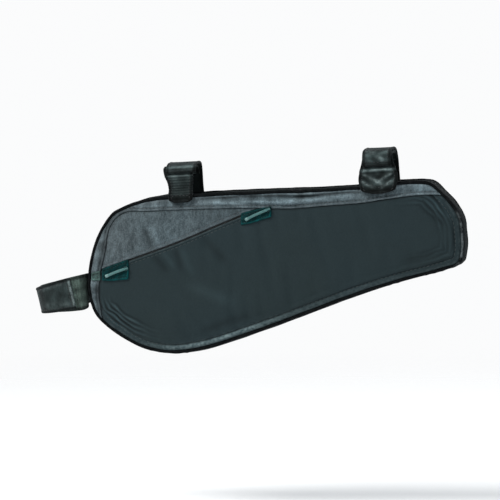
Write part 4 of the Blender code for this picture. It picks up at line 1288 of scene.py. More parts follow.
# ---------------------------------------------------------- gusset and piping
def make_gusset():
    n, m = 700, 22
    ring = resample(smooth(OUTLINE, 240, closed=True), n, closed=True, bend=14.0)
    nrm = inward(ring)
    arc = arc_of(ring[:, :2], closed=True)
    t = np.abs(((np.arctan2(nrm[:, 1], nrm[:, 0]) - np.arctan2(np.roll(nrm, 3, 0)[:, 1], np.roll(nrm, 3, 0)[:, 0]))
                + PI) % (2 * PI) - PI)
    tight = np.convolve(np.concatenate([t[-12:], t, t[:12]]), np.ones(25) / 25, "same")[12:-12]
    tight = np.clip(tight / tight.max(), 0, 1)
    c = np.sin(np.linspace(-1, 1, m + 1) * PI / 2)
    grid = np.zeros((n, 2 * (m + 1), 3))
    wear_and_highlight = np.zeros((n, 2 * (m + 1)))
    for layer in (0, 1):
        cc = c if layer == 0 else c[::-1]
        for k, q in enumerate(cc):
            y = q * (ring[:, 2] - 0.5)
            s = ring[:, 2] - 0.5 - np.abs(y)          # from the seam
            stand = ring[:, 3] * (1 - q * q) - 0.35
            ruck = (waves(arc[:-1] + 2.0 * q, 7.5, 51) * 0.14 + 0.18 * tight * waves(arc[:-1], 6.0, 57))
            stand = stand + ruck * bump(s - 3.0, 4.5) + 0.12 * ripple(arc[:-1], y, 26.0, 59)
            stand = stand + 0.35 * bump(s - 2.2, 1.1) - 0.45 * bump(s - 4.2, 0.6)
            stand = stand - 1.5 * drop_off(s, 1.8, 2.0)
            stand = stand - layer * 1.6
            col = layer * (m + 1) + k
            grid[:, col] = np.stack([ring[:, 0] - nrm[:, 0] * stand, y,
                                     ring[:, 1] - nrm[:, 1] * stand], -1)
            wear_and_highlight[:, col] = 0.6 * bump(s - 2.0, 0.9) + 0.25 * tight
    v = np.concatenate([c * 17.0, c[::-1] * 17.0 + 60.0, [77.0]])
    obj = tube_mesh("gusset_strip", grid, arc, v, "gusset_cloth", True, {"wear_and_highlight": wear_and_highlight}, sharp=60.0)
    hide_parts("gusset")
    # the two rows of stitches on the strip
    parts = []
    for side in (-1, 1):
        s = 4.2
        y = side * (ring[:, 2] - 0.5 - s)
        q = y / (ring[:, 2] - 0.5)
        stand = (ring[:, 3] * (1 - q * q) - 0.35 - 0.45
                 + (waves(arc[:-1] + 2.0 * q, 7.5, 51) * 0.14 + 0.18 * tight * waves(arc[:-1], 6.0, 57)) * bump(s - 3.0, 4.5)
                 + 0.12 * ripple(arc[:-1], y, 26.0, 59) + 0.35 * bump(s - 2.2, 1.1))
        p = np.stack([ring[:, 0] - nrm[:, 0] * stand, y, ring[:, 1] - nrm[:, 1] * stand], -1)
        p = np.vstack([p, p[:1]])
        nn = np.stack([-nrm[:, 0], 0 * y, -nrm[:, 1]], -1)
        nn = np.vstack([nn, nn[:1]])
        parts += stitches(p, nn, seed=60 + side, lift=0.16)
    v, f = joined(parts)
    obj = add_mesh("gusset_stitches", v, f, "thread_black", sharp=80.0)


def make_piping(name, side, node):
    n, m = 1000, 14
    ring = resample(smooth(OUTLINE, 240, closed=True), n, closed=True, bend=16.0)
    nrm = inward(ring)
    arc = arc_of(ring[:, :2], closed=True)
    wob = 0.10 * waves(arc[:-1], 24.0, 71 + side)
    dep = 0.12 * waves(arc[:-1], 31.0, 75 + side)
    centre = np.stack([ring[:, 0] + nrm[:, 0] * (PIPE_R + wob), side * (ring[:, 2] + dep),
                       ring[:, 1] + nrm[:, 1] * (PIPE_R + wob)], -1)
    across = np.stack([nrm[:, 0], np.zeros(n), nrm[:, 1]], -1)
    depth = np.tile([0.0, side * 1.0, 0.0], (n, 1))
    rings = []
    for k in range(m):
        a = 2 * PI * k / m
        r = PIPE_R * (1.0 + 0.035 * np.sin(2 * PI * arc[:-1] / 2.3 + 2 * a)
                      + 0.02 * waves(arc[:-1], 5.0, 80 + k))
        rings.append(centre + r[:, None] * (math.cos(a) * across + math.sin(a) * depth))
    grid = np.stack(rings, 1)
    # painted highlight: paler on the half of the cord facing out from the bag's side, and much paler round the front
    # end
    wear_and_highlight = np.tile([max(0.0, math.sin(2 * PI * k / m)) for k in range(m)], (n, 1))
    end = stretch(centre[:, 0], 141.0, 160.0, 4.0) * stretch(centre[:, 2], -66.0, -22.0, 8.0)
    wear_and_highlight = wear_and_highlight * (0.14 + 4.2 * end)[:, None]
    v = np.linspace(0, 2 * PI * PIPE_R, m + 1)
    obj = tube_mesh(name, grid, arc, v, "black_piping", True, {"wear_and_highlight": wear_and_highlight})
    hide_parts(node)


make_gusset()
make_piping("piping_cord_near", -1, "piping_near")
make_piping("piping_cord_far", 1, "piping_far")


# ---------------------------------------------------------------------- zip
def base_y(x, z):
    """The near face without its seams: half width and settling."""
    x, z = np.asarray(x, float), np.asarray(z, float)
    d_edge, _ = nearest_on(x, z, RING, closed=True)
    calm = 1.0 - drop_off(d_edge - 2.0, 7.0, 1.5)
    return half_width(x, z) + SETTLED[-1](x, z) * calm * taut(x) + 0.10 * ripple(x, z, 34.0, 2) * calm


def make_zip():
    line = resample(between(ZIP_LONG, ZIP_CURVE[0] - _d0 * 0.2, ZIP_CURVE[-1] + _d1 * 1.0), 260)
    arc = arc_of(line)
    offs = np.array([-2.3, -1.7, -1.25, -0.9, -0.5, 0.0, 0.5, 0.9, 1.25, 1.7, 2.3])
    rise = np.array([-1.7, -1.35, -1.15, -1.1, -1.1, -1.1, -1.1, -1.1, -1.15, -1.35, -1.7])
    cols_o, cols_i = [], []
    for o, r in zip(offs, rise):
        q = offset(line, o)
        h = base_y(q[:, 0], q[:, 1])
        cols_o.append(np.stack([q[:, 0], -(h + r), q[:, 1]], -1))
        cols_i.append(np.stack([q[:, 0], -(h + r - 0.7), q[:, 1]], -1))
    outer, inner = np.stack(cols_o, 1), np.stack(cols_i, 1)
    uv = np.stack(np.broadcast_arrays(arc[:, None], offs[None, :]), -1)
    obj = sheet_skin("zip_tape", outer, inner, uv, "zip_tape")
    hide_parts("zip")
    # the coil: rounded bars from both tapes, hooked past the middle
    parts = []
    pitch = 1.15
    spots = np.arange(0.8, arc[-1] - 0.8, pitch)
    nrm = inward(line, closed=False)
    for k, s in enumerate(spots):
        for side in (-1, 1):
            ss = s + (0.5 * pitch if side > 0 else 0.0)
            c = np.array([np.interp(ss, arc, line[:, q]) for q in range(2)])
            n2 = np.array([np.interp(ss, arc, nrm[:, q]) for q in range(2)])
            t2 = np.array([n2[1], -n2[0]])
            w = np.array([0.25, -0.05, -0.5, -1.0, -1.35]) * -side
            lean = np.array([0.10, 0.0, -0.05, 0.0, 0.12])
            hgt = np.array([-1.0, -0.62, -0.52, -0.60, -1.0])
            rad = np.array([0.20, 0.30, 0.30, 0.28, 0.20])
            p2 = c + w[:, None] * n2 + lean[:, None] * t2
            h = base_y(p2[:, 0], p2[:, 1])
            cc = np.stack([p2[:, 0], -(h + hgt - 0.15), p2[:, 1]], -1)
            t = np.gradient(cc, axis=0)
            t /= np.linalg.norm(t, axis=1)[:, None]
            up = np.tile([t2[0], 0.0, t2[1]], (5, 1))
            b = np.cross(t, up)
            ring = [cc + rad[:, None] * (math.cos(a) * up + math.sin(a) * b)
                    for a in np.arange(6) * PI / 3]
            g = np.stack(ring, 1)
            f = []
            for i in range(4):
                for q in range(6):
                    q2 = (q + 1) % 6
                    f.append((i * 6 + q, i * 6 + q2, (i + 1) * 6 + q2, (i + 1) * 6 + q))
            f.append(tuple(range(6))[::-1])
            f.append(tuple(24 + q for q in range(6)))
            parts.append((g.reshape(-1, 3), f))
    v, f = joined(parts)
    obj = add_mesh("zip_coil", v, f, "zip_coil", sharp=70.0)


make_zip()


# ----------------------------------------------------- patches and cord pulls
def patch_height(a, b, wide, drop, cord):
    """Height of a patch over the cloth: a along its top edge, b down, drop
    the depth there."""
    edge = np.minimum(np.minimum(a, wide - a), np.minimum(b, drop - b))
    h = 1.10 - 0.95 * drop_off(edge, 1.1, 2.0)
    h = h + 0.22 * bump(edge - 1.0, 0.7) - 0.30 * bump(edge - 1.9, 0.45)
    (ax, ay), (bx, by) = cord
    dx, dy = bx - ax, by - ay
    ln = math.hypot(dx, dy)
    off = ((a - ax) * dy - (b - ay) * dx) / ln
    inside = np.clip((edge - 2.2) / 1.5, 0, 1)
    h = h + inside * (0.35 * bump(off, 1.3) - 0.35 * bump(off - 2.3, 0.9)
                      - 0.35 * bump(off + 2.3, 0.9) + 0.30 * bump(off + 4.2, 1.1))
    return h


def make_patch(name, x0, z0, x1, z1, drop0, drop1, pull, node, cloth="teal_cloth",
               thread="thread_teal"):
    wide = math.hypot(x1 - x0, z1 - z0)
    cord = [(0.3 * wide, -40.0), (0.7 * wide, -40.0)]
    if pull is not None:
        cord = []
        for px, pz in ((pull[1], pull[2]), (pull[3], pull[4])):
            t = (px - x0) / (x1 - x0)
            cord.append((t * wide, z0 + t * (z1 - z0) - pz))

    def depth(a):
        return drop0 + (drop1 - drop0) * a / wide

    def place(a, b):
        """Sewn ends a little round, edges not quite straight."""
        d = depth(a)
        aa = a + (0.5 - a / wide) * 0.6 * (np.abs(b / d - 0.5) * 2) ** 6 + 0.12 * waves(b, 9.0, 91) * (a / wide)
        bb = b + (0.5 - b / d) * 0.7 * (np.abs(a / wide - 0.5) * 2) ** 6 + 0.16 * waves(a, 14.0, 93) * (b / d)
        return x0 + aa / wide * (x1 - x0), z0 + aa / wide * (z1 - z0) - bb

    us, vs = crowd(74, 0.05), crowd(44, 0.09)
    a = np.broadcast_to(us[:, None] * wide, (75, 45))
    b = vs[None, :] * depth(a)
    x, z = place(a, b)
    h = patch_height(a, b, wide, depth(a), cord)
    base = base_y(x, z)
    outer = np.stack([x, -(base + 0.35 + h), z], -1)
    inner = np.stack([x, -(base + 0.25), z], -1)
    edge = np.minimum(np.minimum(a, wide - a), np.minimum(b, depth(a) - b))
    (ax, ay), (bx, by) = cord
    off = ((a - ax) * (by - ay) - (b - ay) * (bx - ax)) / math.hypot(bx - ax, by - ay)
    # painted shade along the top edge and beside the cord, paler along the hem, random patches, painted shade in the
    # groove inside the hem
    painted_light_and_tone = (-0.55 * bump(b - 1.0, 2.2) - 0.60 * bump(off, 2.0) + 0.30 * bump(edge - 1.0, 0.8)
            + 0.30 * waves(a + 0.6 * b, 7.0, 95) - 0.4 * bump(edge - 1.9, 0.5))
    obj = sheet_skin(name, outer, inner, np.stack([a, b], -1), cloth,
                     {"wear_and_highlight": 0.5 * bump(edge - 0.8, 0.6), "painted_light_and_tone": np.clip(painted_light_and_tone, -1.3, 0.8)})
    if node is not None:
        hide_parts(node)
    # a row of stitches round it
    inset = 1.9
    corners = [(wide - inset, inset), (inset, inset), (inset, depth(inset) - inset),
               (wide - inset, depth(wide - inset) - inset), (wide - inset, inset)]
    parts = []
    for p, q in zip(corners[:-1], corners[1:]):
        m = 24
        ab = np.array(p) + np.linspace(0, 1, m)[:, None] * (np.array(q) - np.array(p))
        xx, zz = place(ab[:, 0], ab[:, 1])
        hh = base_y(xx, zz) + 0.35 + patch_height(ab[:, 0], ab[:, 1], wide, depth(ab[:, 0]), cord)
        line = np.stack([xx, -hh, zz], -1)
        parts += stitches(line, np.tile([0.0, -1.0, 0.0], (m, 1)), length=1.5, gap=0.55,
                          radius=0.18, start=0.4, seed=17)
    v, f = joined(parts)
    obj = add_mesh(name + "_stitches", v, f, thread, sharp=80.0)


def make_pull(name, x0, z0, x1, z1, node):
    n, m = 90, 18
    t = np.linspace(0, 1, n)
    x = x0 + t * (x1 - x0)
    z = z0 + t * (z1 - z0) + 0.35 * np.sin(t * PI)
    ln = math.hypot(x1 - x0, z1 - z0)
    lift = GAP + PATCH_T + GAP + PULL_R + 0.10 - 1.0 * bump((1 - t) * ln, 1.2)
    h = base_y(x, z) + lift
    c = np.stack([x, -h, z], -1)
    tt = np.gradient(c, axis=0)
    tt /= np.linalg.norm(tt, axis=1)[:, None]
    across = np.cross(tt, np.tile([0.0, -1.0, 0.0], (n, 1)))
    across /= np.linalg.norm(across, axis=1)[:, None]
    up = np.cross(tt, across)
    s = t * ln
    girth = PULL_R * np.sqrt(np.clip(1 - ((np.abs(t - 0.5) * 2 * ln - (ln - 1.0)) / 1.0).clip(0, 1) ** 2, 0.02, 1))
    rings = []
    for k in range(m):
        a = 2 * PI * k / m
        braid = np.abs(np.sin(1.5 * a + s * 1.9)) * np.abs(np.sin(1.5 * a - s * 1.9))
        r = girth * (0.93 + 0.12 * braid)
        rings.append(c + r[:, None] * (math.cos(a) * across + math.sin(a) * up))
    grid = np.stack(rings, 1)
    obj = tube_mesh(name, grid, s, np.linspace(0, 6.6, m + 1), "turquoise_cord", False)
    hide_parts(node)
    # moulded tip over the lower end
    q = np.linspace(0, 1, 16)
    length = 3.0
    tip_r = 1.26 * np.sqrt(np.clip(1 - (np.abs(q - 0.5) * 2) ** 5, 0.01, 1)) * (1.0 + 0.05 * np.sin(q * 24))
    sc = s[0] - 0.3 + q * length
    cc = np.stack([np.interp(sc, s, c[:, k]) for k in range(3)], -1)
    cc += np.minimum(sc, 0)[:, None] * tt[0]
    rr = []
    for k in range(16):
        a = 2 * PI * k / 16
        rr.append(cc + tip_r[:, None] * (math.cos(a) * across[0] + math.sin(a) * up[0]))
    obj = tube_mesh(name + "_tip", np.stack(rr, 1), sc, np.linspace(0, 8.3, 17), "turquoise_tip", False)
    # bar of close stitches over the upper end
    parts = []
    for k in range(6):
        s0 = ln - 2.6 + 0.42 * k
        c0 = np.array([np.interp(s0, s, c[:, q]) for q in range(3)])
        w = np.linspace(-1.9, 1.9, 12)
        arch = np.sqrt(np.clip(1 - (w / 1.75) ** 2, 0, 1)) * 1.15 - 0.35
        line = c0 + w[:, None] * across[-1] + np.outer(arch, -np.sign(up[-1][1]) * up[-1])
        nn = np.tile(-np.sign(up[-1][1]) * up[-1], (12, 1))
        parts += stitches(line, nn, length=float(arc_of(line)[-1]) - 0.05, gap=1.0, radius=0.2, lift=0.06, seed=k)
    v, f = joined(parts)
    obj = add_mesh(name + "_tack", v, f, "thread_teal", sharp=80.0)


for row, pull in zip(GARAGES, PULLS):
    make_patch(row[0].replace("zip_garage", "teal_patch"), *row[1:], pull, row[0])
# a small tab of plain cloth over the zip's rear end, on the edge band
make_patch("zip_end_tab", -146.3, -74.2, -138.2, -72.0, 6.4, 7.6, None, None, "end_tab_cloth", "thread_grey")
for row in PULLS:
    make_pull(row[0].replace("zip_pull", "cord_pull"), *row[1:], row[0])


# --------------------------------------------------------- stitches on panels
def clip_line(line, keep):
    """The longest run of points of a line where keep holds."""
    ok = keep(line[:, 0], line[:, 1])
    best, start = (0, 0), None
    for i, v in enumerate(list(ok) + [False]):
        if v and start is None:
            start = i
        if not v and start is not None:
            if i - start > best[1] - best[0]:
                best = (start, i)
            start = None
    return line[best[0]:best[1]]


def make_panel_stitches():
    inner = offset(RING, SEAM_IN + 5.2, closed=True)[:, :2]
    line = ring_between(inner, (-133.0, -107.0), (122.0, -12.0))
    line = clip_line(line, lambda x, z: (nearest_on(x, z, SEAM)[0] > 1.6))
    parts = face_row(line, -1, "main", seed=3)
    v, f = joined(parts)
    obj = add_mesh("main_stitches", v, f, "thread_dark", sharp=80.0)

    line = offset(SEAM, 2.4)[:, :2]
    line = clip_line(line, lambda x, z: (nearest_on(x, z, RING, True)[0] > 2.6))
    parts = face_row(line, -1, "band", seed=5)
    v, f = joined(parts)
    obj = add_mesh("band_stitches", v, f, "thread_grey", sharp=80.0)

    clear = lambda x, z: nearest_on(x, z, SEAM)[0] > 2.2
    low = clip_line(offset(ZIP_LONG, -(ZIP_HALF + 2.6)), clear)
    high = clip_line(offset(ZIP_LONG, ZIP_HALF + 2.6), clear)
    v, f = joined(face_row(low, -1, "main", seed=7))
    obj = add_mesh("zip_stitches_low", v, f, "thread_dark", sharp=80.0)
    v, f = joined(face_row(high, -1, "upper", seed=8))
    obj = add_mesh("zip_stitches_high", v, f, "thread_grey", sharp=80.0)

    v, f = joined(face_row(np.vstack([inner, inner[:1]]), 1, "far", seed=9))
    obj = add_mesh("far_stitches", v, f, "thread_dark", sharp=80.0)


make_panel_stitches()


# --------------------------------------------------------------------- straps
def strap_frame(rows, sections=170):
    path = resample(smooth(rows, 40), sections, bend=7.0)
    return path, inward(path, closed=False), arc_of(path[:, :2])


def make_strap(name, node, rows, centre, e_u, e_v, e_w, out, detail, rows_of_stitches=(), across=30,
               hem=2.6, thick=TOP_STRAP_T, seed=1, finish="strap_cloth", shade=None, rub_and_highlight=1.1):
    """A band of cloth bent round a tube.  out is 1 where the path's left side
    faces away from the tube, -1 where it faces the tube; detail gives how far
    the cloth stands out at a length along and a distance across it, shade
    the painted light and painted shade there, and the last argument how much
    paler its ends are rubbed.  The relief is painted as well: paler on its
    ridges, a painted highlight, and darker in its creases, painted shade.
    Its sides are bound in black."""
    path, nrm, arc = strap_frame(rows)
    total = arc[-1]
    centre, e_u, e_v, e_w = (np.array(k, float) for k in (centre, e_u, e_v, e_w))
    s = np.sin(np.linspace(-1, 1, across + 1) * PI / 2)

    def point(i_path, c, off):
        """Points at fractional path places, shares across and heights."""
        u = np.interp(i_path, arc, path[:, 0]) + np.interp(i_path, arc, nrm[:, 0]) * off
        w_ = np.interp(i_path, arc, path[:, 2])
        v = (np.interp(i_path, arc, path[:, 1]) + np.interp(i_path, arc, nrm[:, 1]) * off
             + c * 0.5 * np.interp(i_path, arc, path[:, 4]))
        w = np.interp(i_path, arc, path[:, 3]) + c * 0.5 * w_
        return (centre + u[..., None] * e_u + v[..., None] * e_v + w[..., None] * e_w)

    a, c = np.meshgrid(arc, s, indexing="ij")
    width = np.interp(a, arc, path[:, 2])
    from_side = (1 - np.abs(c)) * 0.5 * width
    from_end = np.minimum(a, total - a)
    r = 0.5 * thick
    profile = (np.sqrt(1 - np.clip(1 - from_side / r, 0, 1) ** 2)
               * np.sqrt(1 - np.clip(1 - from_end / r, 0, 1) ** 2))
    move = detail(a, c * 0.5 * width, width, total)
    edge = np.minimum(from_side, from_end)
    rim = 0.16 * bump(edge - 1.4, 0.9) - 0.24 * bump(edge - hem, 0.45)
    cloth = 0.10 * ripple(a, c * 0.5 * width, 16.0, seed) + 0.10 * waves(a, 13.0, seed + 5) * bump(from_side, 3.0)
    top = out * (r * profile + rim * (profile > 0.5) + move + cloth)
    low = out * (-r * profile + move + cloth)
    outer, inner = point(a, c, top), point(a, c, low)
    uv = np.stack([a, c * 0.5 * width], -1)
    # paler where the ends are rubbed, and on the relief's ridges as a painted highlight
    wear_and_highlight = rub_and_highlight * bump(from_end - 1.0, 0.9) * (from_side > 2.0) + np.clip(move, 0, 1.4) * 0.55
    # painted light on the relief's ridges and painted shade in its creases, random patches, black bound sides,
    # painted shade along the hem
    painted_light_and_tone = 0.55 * np.clip(move, -1.3, 0.9) + 0.25 * ripple(a, c * 0.5 * width, 9.0, seed + 2)
    painted_light_and_tone = painted_light_and_tone - 1.25 / (1.0 + np.exp((from_side - 2.2) / 0.22)) - 0.35 * bump(from_end - hem, 0.7)
    wear_and_highlight = wear_and_highlight * (1.0 - 0.85 / (1.0 + np.exp((from_side - 2.2) / 0.25)))
    if shade is not None:
        painted_light_and_tone = painted_light_and_tone + shade(a, c * 0.5 * width, width, total)
    obj = sheet_skin(name, outer, inner, uv, finish,
                     {"wear_and_highlight": wear_and_highlight, "painted_light_and_tone": np.clip(painted_light_and_tone, -2.2, 1.0)}, weld=True, sharp=70.0)
    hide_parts(node)

    # rows of stitches: each a list of (length along, mm from the middle)
    def surface(aa, ww):
        wd = np.interp(aa, arc, path[:, 2])
        cc = ww / (0.5 * wd)
        mv = detail(aa, ww, wd, total)
        cl = 0.10 * ripple(aa, ww, 16.0, seed) + 0.10 * waves(aa, 13.0, seed + 5) * bump((0.5 * wd - np.abs(ww)), 3.0)
        ed = np.minimum(0.5 * wd - np.abs(ww), np.minimum(aa, total - aa))
        rm = 0.16 * bump(ed - 1.4, 0.9) - 0.24 * bump(ed - hem, 0.45)
        return point(aa, cc, out * (r + rm + mv + cl))

    parts = []
    for sign in (-1, 1):
        aa = np.linspace(hem * 1.0, total - hem, 160)
        ww = sign * (0.5 * np.interp(aa, arc, path[:, 2]) - hem)
        keep = 0.5 * np.interp(aa, arc, path[:, 2]) > hem + 2.2
        aa, ww = aa[keep], ww[keep]
        p = surface(aa, ww)
        back = surface(aa, ww - sign * 0.6) - surface(aa, ww + sign * 0.6)
        t = np.gradient(p, axis=0)
        n = np.cross(t, back) * sign * out
        n /= np.linalg.norm(n, axis=1)[:, None]
        # outward from the tube
        mid = centre
        if ((p - mid) * n).sum(1).mean() < 0:
            n = -n
        parts += stitches(p, n, length=2.1, gap=0.8, radius=0.23, seed=seed)
    for line in rows_of_stitches:
        line = np.array(line, float)
        q = at_share(line, np.linspace(0, 1, 80))
        p = surface(q[:, 0], q[:, 1])
        t = np.gradient(p, axis=0)
        k = np.clip(q[:, 0], 0.1, total - 0.1)
        n2 = np.stack([np.interp(k, arc, nrm[:, 0]), np.interp(k, arc, nrm[:, 1])], -1) * out
        n = n2[:, :1] * e_u + n2[:, 1:] * e_v
        parts += stitches(p, n, length=2.1, gap=0.8, radius=0.23, seed=seed + 3)
    if parts:
        v, f = joined(parts)
        obj = add_mesh(name + "_stitches", v, f, "thread_black", sharp=80.0)


def line_ridge(a, w, p, q, width, height):
    """A ridge or crease between two places on a strap."""
    dx, dy = q[0] - p[0], q[1] - p[1]
    ln = math.hypot(dx, dy)
    t = ((a - p[0]) * dx + (w - p[1]) * dy) / ln ** 2
    off = ((a - p[0]) * dy - (w - p[1]) * dx) / ln
    along = np.exp(-(np.maximum(0.0, np.abs(t - 0.5) - 0.35) / 0.16) ** 2)
    return height * along * bump(off, width)


def plain(a, w, wd, total):
    return 0.0 * a


def front_tab_detail(a, w, wd, total):
    """Cloth drawn in towards its foot: folds that cross in a V."""
    h = line_ridge(a, w, (16.6, -12.5), (7.0, 3.5), 1.5, 0.90)
    h = h + line_ridge(a, w, (16.2, 11.5), (8.0, -2.0), 1.5, 0.95)
    h = h + line_ridge(a, w, (10.5, -14.5), (3.0, -1.0), 1.3, 0.90)
    h = h + line_ridge(a, w, (11.0, 14.0), (3.2, 1.5), 1.3, 0.90)
    h = h + line_ridge(a, w, (15.5, -14.0), (8.5, -6.5), 1.2, -0.80)
    h = h + line_ridge(a, w, (15.0, 13.5), (9.0, 6.0), 1.2, -0.80)
    h = h + line_ridge(a, w, (17.0, -4.0), (12.5, 0.5), 1.4, -0.75)
    h = h + line_ridge(a, w, (17.0, 4.5), (12.5, 0.5), 1.4, -0.75)
    h = h + 0.85 * bump(a - 18.9, 1.3) - 0.45 * bump(a - 16.5, 0.9)
    return h


# painted highlight on the ridge below the flap, painted shade just under the flap's end, darker towards the tip with
# a painted shadow there
def front_tab_shade(a, w, wd, total):
    return (0.60 * bump(a - 18.9, 1.4) - 0.70 * bump(a - 21.8, 1.3) - 0.75 * drop_off(a, 9.0, 1.2)
            - 0.25 * bump(a - 14.0, 4.0) + 0.12 - 1.60 * drop_off(a, 6.5, 0.6))


def rear_tab_detail(a, w, wd, total):
    """Ribbed webbing: low ribs across it, and a higher one below the flap."""
    h = 0.24 * np.cos(2 * PI * (a - 21.2) / 2.15) * stretch(a, 5.0, 24.0, 1.0)
    h = h + 0.35 * bump(a - 21.2, 1.1)
    h = h + line_ridge(a, w, (4.0, -3.6), (20.0, -4.6), 1.5, 0.20)
    return h


# painted highlight on the rib below the flap, darker downwards, and a painted shadow at the tip
def rear_tab_shade(a, w, wd, total):
    return (0.45 * bump(a - 21.2, 1.2) - 0.40 * drop_off(a, 17.0, 0.8) - 0.06
            - 1.30 * drop_off(a, 6.0, 0.6))


def strap_detail(a, w, wd, total):
    """The flap lies over the tab, with a ridge across it above its end."""
    h = 0.15 * bump(total - a, 2.6) + 0.35 * bump(total - a - 4.4, 1.4)
    h = h + 0.16 * (np.abs(w) / (0.5 * wd)) ** 4
    return h


def front_strap_detail(a, w, wd, total):
    h = 0.25 * bump(total - a - 12.0, 3.0) + 0.16 * (np.abs(w) / (0.5 * wd)) ** 4
    h = h + line_ridge(a, w, (total - 14.0, -8.0), (total - 3.0, 6.0), 1.8, 0.50)
    h = h + line_ridge(a, w, (total - 15.0, 7.0), (total - 5.0, -5.0), 1.8, -0.50)
    return h


def rear_flap_shade(a, w, wd, total):
    """A painted highlight on a ridge above the flap's end, painted shade at the end, and dark over the tube."""
    left = total - a
    return (0.95 * bump(left - 4.4, 1.3) - 1.10 * bump(left, 1.6)
            - 0.60 * stretch(left, 7.6, 90.0, 1.6))


def front_flap_shade(a, w, wd, total):
    """Pale and mottled in the middle of the flap, painted shade at its end, dark over the tube."""
    left = total - a
    middle = stretch(left, 3.0, 11.5, 1.4)
    return (middle * (0.42 + 0.34 * ripple(a, w, 6.0, 151)) - 1.40 * bump(left, 1.9)
            - 0.70 * stretch(left, 13.2, 90.0, 1.6))


def seat_tab_detail(a, w, wd, total):
    h = line_ridge(a, w, (6.0, -9.0), (24.0, -7.0), 1.6, 0.50)
    h = h + line_ridge(a, w, (8.0, 2.0), (26.0, 4.5), 1.8, -0.50)
    h = h + line_ridge(a, w, (10.0, -3.5), (14.0, 9.5), 1.2, 0.35)
    return h


def seat_tab_shade(a, w, wd, total):
    """Painted shade in the bend beside the bag, and paler and darker bands further along."""
    return -0.9 * drop_off(a, 12.0, 1.0) + 0.22 * waves(a, 3.2, 141) * stretch(a, 9.0, 30.0, 3.0)


def seat_strap_detail(a, w, wd, total):
    h = 0.30 * bump(total - a, 2.4) + 0.20 * (np.abs(w) / (0.5 * wd)) ** 4
    h = h + line_ridge(a, w, (total - 34.0, 7.0), (total - 6.0, 9.4), 1.8, 0.50)
    h = h + line_ridge(a, w, (total - 30.0, -4.0), (total - 4.0, -8.0), 2.2, 0.45)
    return h


def seat_strap_shade(a, w, wd, total):
    """Painted shade along the fold behind the tube, a painted highlight beside the flap's end, and darker further
    back.
    """
    left = total - a
    return -1.1 * bump(left - 27.0, 3.0) + 0.35 * bump(left - 3.0, 2.2) - 0.3 * stretch(left, 32.0, 90.0, 5.0)


def make_straps():
    for suffix, place, tab, strap, td, sd, ts, fs, sew in (
            ("rear", TOP_REAR, TAB_REAR, STRAP_REAR, rear_tab_detail, strap_detail, rear_tab_shade,
             rear_flap_shade, [[(5.2, -7.0), (5.2, 7.4)]]),
            ("front", TOP_FRONT, TAB_FRONT, STRAP_FRONT, front_tab_detail, front_strap_detail,
             front_tab_shade, front_flap_shade, [[(8.4, -11.0), (4.6, 0.2), (8.4, 11.4)]])):
        c, s = math.cos(place["tilt"]), math.sin(place["tilt"])
        centre = (place["x"], 0.0, place["x"] * math.tan(place["tilt"]))
        axes = ((0, 1, 0), (-s, 0, c), (c, 0, s))
        make_strap(f"tube_tab_{suffix}", f"top_tab_{suffix}", tab, centre, *axes, 1, td,
                   sew, seed=101, shade=ts)
        total = strap_frame(strap)[2][-1]
        make_strap(f"tube_strap_{suffix}", f"top_strap_{suffix}", strap, centre, *axes, -1, sd,
                   [[(5.0, -8.0), (5.0, 8.0)], [(9.0, -8.0), (9.0, 8.0)],
                    [(total - 2.9, -8.6), (total - 2.9, 8.6)],
                    [(total - 13.0, -8.6), (total - 13.0, 8.6)]], seed=111, shade=fs, rub_and_highlight=0.2)
    c, s = math.cos(SEAT["lean"]), math.sin(SEAT["lean"])
    centre = (SEAT["x"], 0.0, SEAT["z"])
    axes = ((0, 1, 0), (-c, 0, -s), (-s, 0, c))
    make_strap("seat_tube_tab", "seat_tab", SEAT_TAB, centre, *axes, 1, seat_tab_detail,
               [[(12.6, -9.0), (12.6, 9.0)]], seed=121, finish="tab_cloth", shade=seat_tab_shade)
    total = strap_frame(SEAT_STRAP)[2][-1]
    make_strap("seat_tube_strap", "seat_strap", SEAT_STRAP, centre, *axes, -1, seat_strap_detail,
               [[(total - 3.0, -9.4), (total - 3.0, 9.4)]], seed=131, shade=seat_strap_shade)


make_straps()


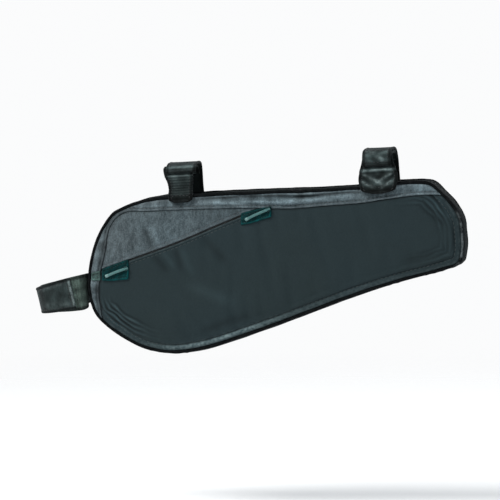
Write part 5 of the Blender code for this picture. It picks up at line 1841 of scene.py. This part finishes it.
# ------------------------------------------------------------ floor and light
def make_stage():
    m = Mat("floor")
    place = m.place()
    x, y, _ = m.split(place)
    r = m.math("SQRT", m.add(m.mul(x, x), m.mul(y, y)))
    grain = m.noise(place, 0.05, 3.0, 0.6)
    m.finish(m.mix(grain, (0.88, 0.885, 0.89), (0.92, 0.925, 0.93)), 0.75,
             m.bump(grain, 0.0002), Specular_IOR_Level=0.2)
    clear = m.node("ShaderNodeBsdfTransparent")
    mixer = m.node("ShaderNodeMixShader")
    m.put(mixer.inputs[0], m.range(r, 450.0, 1500.0, 0.0, 1.0, smooth_step=True))
    m.t.links.new(m.shader.outputs[0], mixer.inputs[1])
    m.t.links.new(clear.outputs[0], mixer.inputs[2])
    m.t.links.new(mixer.outputs[0], m.t.nodes["Material Output"].inputs["Surface"])
    bm = bmesh.new()
    bmesh.ops.create_circle(bm, cap_ends=True, radius=1.6, segments=96)
    mesh = bpy.data.meshes.new("floor")
    bm.to_mesh(mesh)
    bm.free()
    floor = bpy.data.objects.new("floor", mesh)
    bpy.context.scene.collection.objects.link(floor)
    floor.location = (-0.02, 0.0, CAD_BOX[0][2] - 0.12)
    mesh.materials.append(MATERIALS["floor"])

    world = bpy.data.worlds.new("studio")
    bpy.context.scene.world = world
    world.use_nodes = True
    t = world.node_tree
    t.nodes.clear()
    out = t.nodes.new("ShaderNodeOutputWorld")
    mix = t.nodes.new("ShaderNodeMixShader")
    path = t.nodes.new("ShaderNodeLightPath")
    seen = t.nodes.new("ShaderNodeBackground")
    seen.inputs["Color"].default_value = (0.965, 0.97, 0.975, 1.0)
    lit = t.nodes.new("ShaderNodeBackground")
    lit.inputs["Color"].default_value = (0.90, 0.95, 1.0, 1.0)
    lit.inputs["Strength"].default_value = 0.30
    t.links.new(path.outputs["Is Camera Ray"], mix.inputs[0])
    t.links.new(lit.outputs[0], mix.inputs[1])
    t.links.new(seen.outputs[0], mix.inputs[2])
    t.links.new(mix.outputs[0], out.inputs["Surface"])


def make_light(name, at, aim, size, power, colour=(1, 1, 1)):
    data = bpy.data.lights.new(name, "AREA")
    data.shape = "DISK"
    data.size = size
    data.energy = power
    data.color = colour
    obj = bpy.data.objects.new(name, data)
    bpy.context.scene.collection.objects.link(obj)
    obj.location = at
    obj.rotation_mode = "QUATERNION"
    obj.rotation_quaternion = (Vector(aim) - Vector(at)).to_track_quat("-Z", "Y")


def make_camera():
    lo, hi = Vector(CAD_BOX[0]), Vector(CAD_BOX[1])
    centre = (lo + hi) / 2
    a, e = math.radians(10.0), math.radians(4.0)
    back = Vector((math.sin(a) * math.cos(e), -math.cos(a) * math.cos(e), math.sin(e)))
    data = bpy.data.cameras.new("camera")
    data.lens = 500.0
    data.sensor_width = 36.0
    data.clip_start = 0.05
    data.clip_end = 60.0
    cam = bpy.data.objects.new("camera", data)
    bpy.context.scene.collection.objects.link(cam)
    cam.location = centre + back * 5.4
    cam.rotation_mode = "QUATERNION"
    cam.rotation_quaternion = (-back).to_track_quat("-Z", "Y")
    bpy.context.scene.camera = cam


make_stage()
AIM = (-0.02, 0.0, -0.06)
make_light("key", (-1.05, -1.00, 1.45), AIM, 0.8, 38.0, (1.0, 0.99, 0.97))
make_light("fill", (1.25, -1.20, 0.45), AIM, 1.1, 7.0, (0.95, 0.98, 1.0))
make_light("back", (0.55, 1.30, 1.05), AIM, 1.0, 16.0, (0.97, 0.99, 1.0))
make_light("rear", (-1.45, 0.55, 0.65), AIM, 0.9, 9.0, (1.0, 1.0, 1.0))
make_camera()
bpy.context.scene.view_settings.view_transform = "Standard"
bpy.context.scene.view_settings.look = "None"

print("triangles", {n: sum(len(p.vertices) - 2 for p in o.data.polygons) for n, o in PIECES.items()})
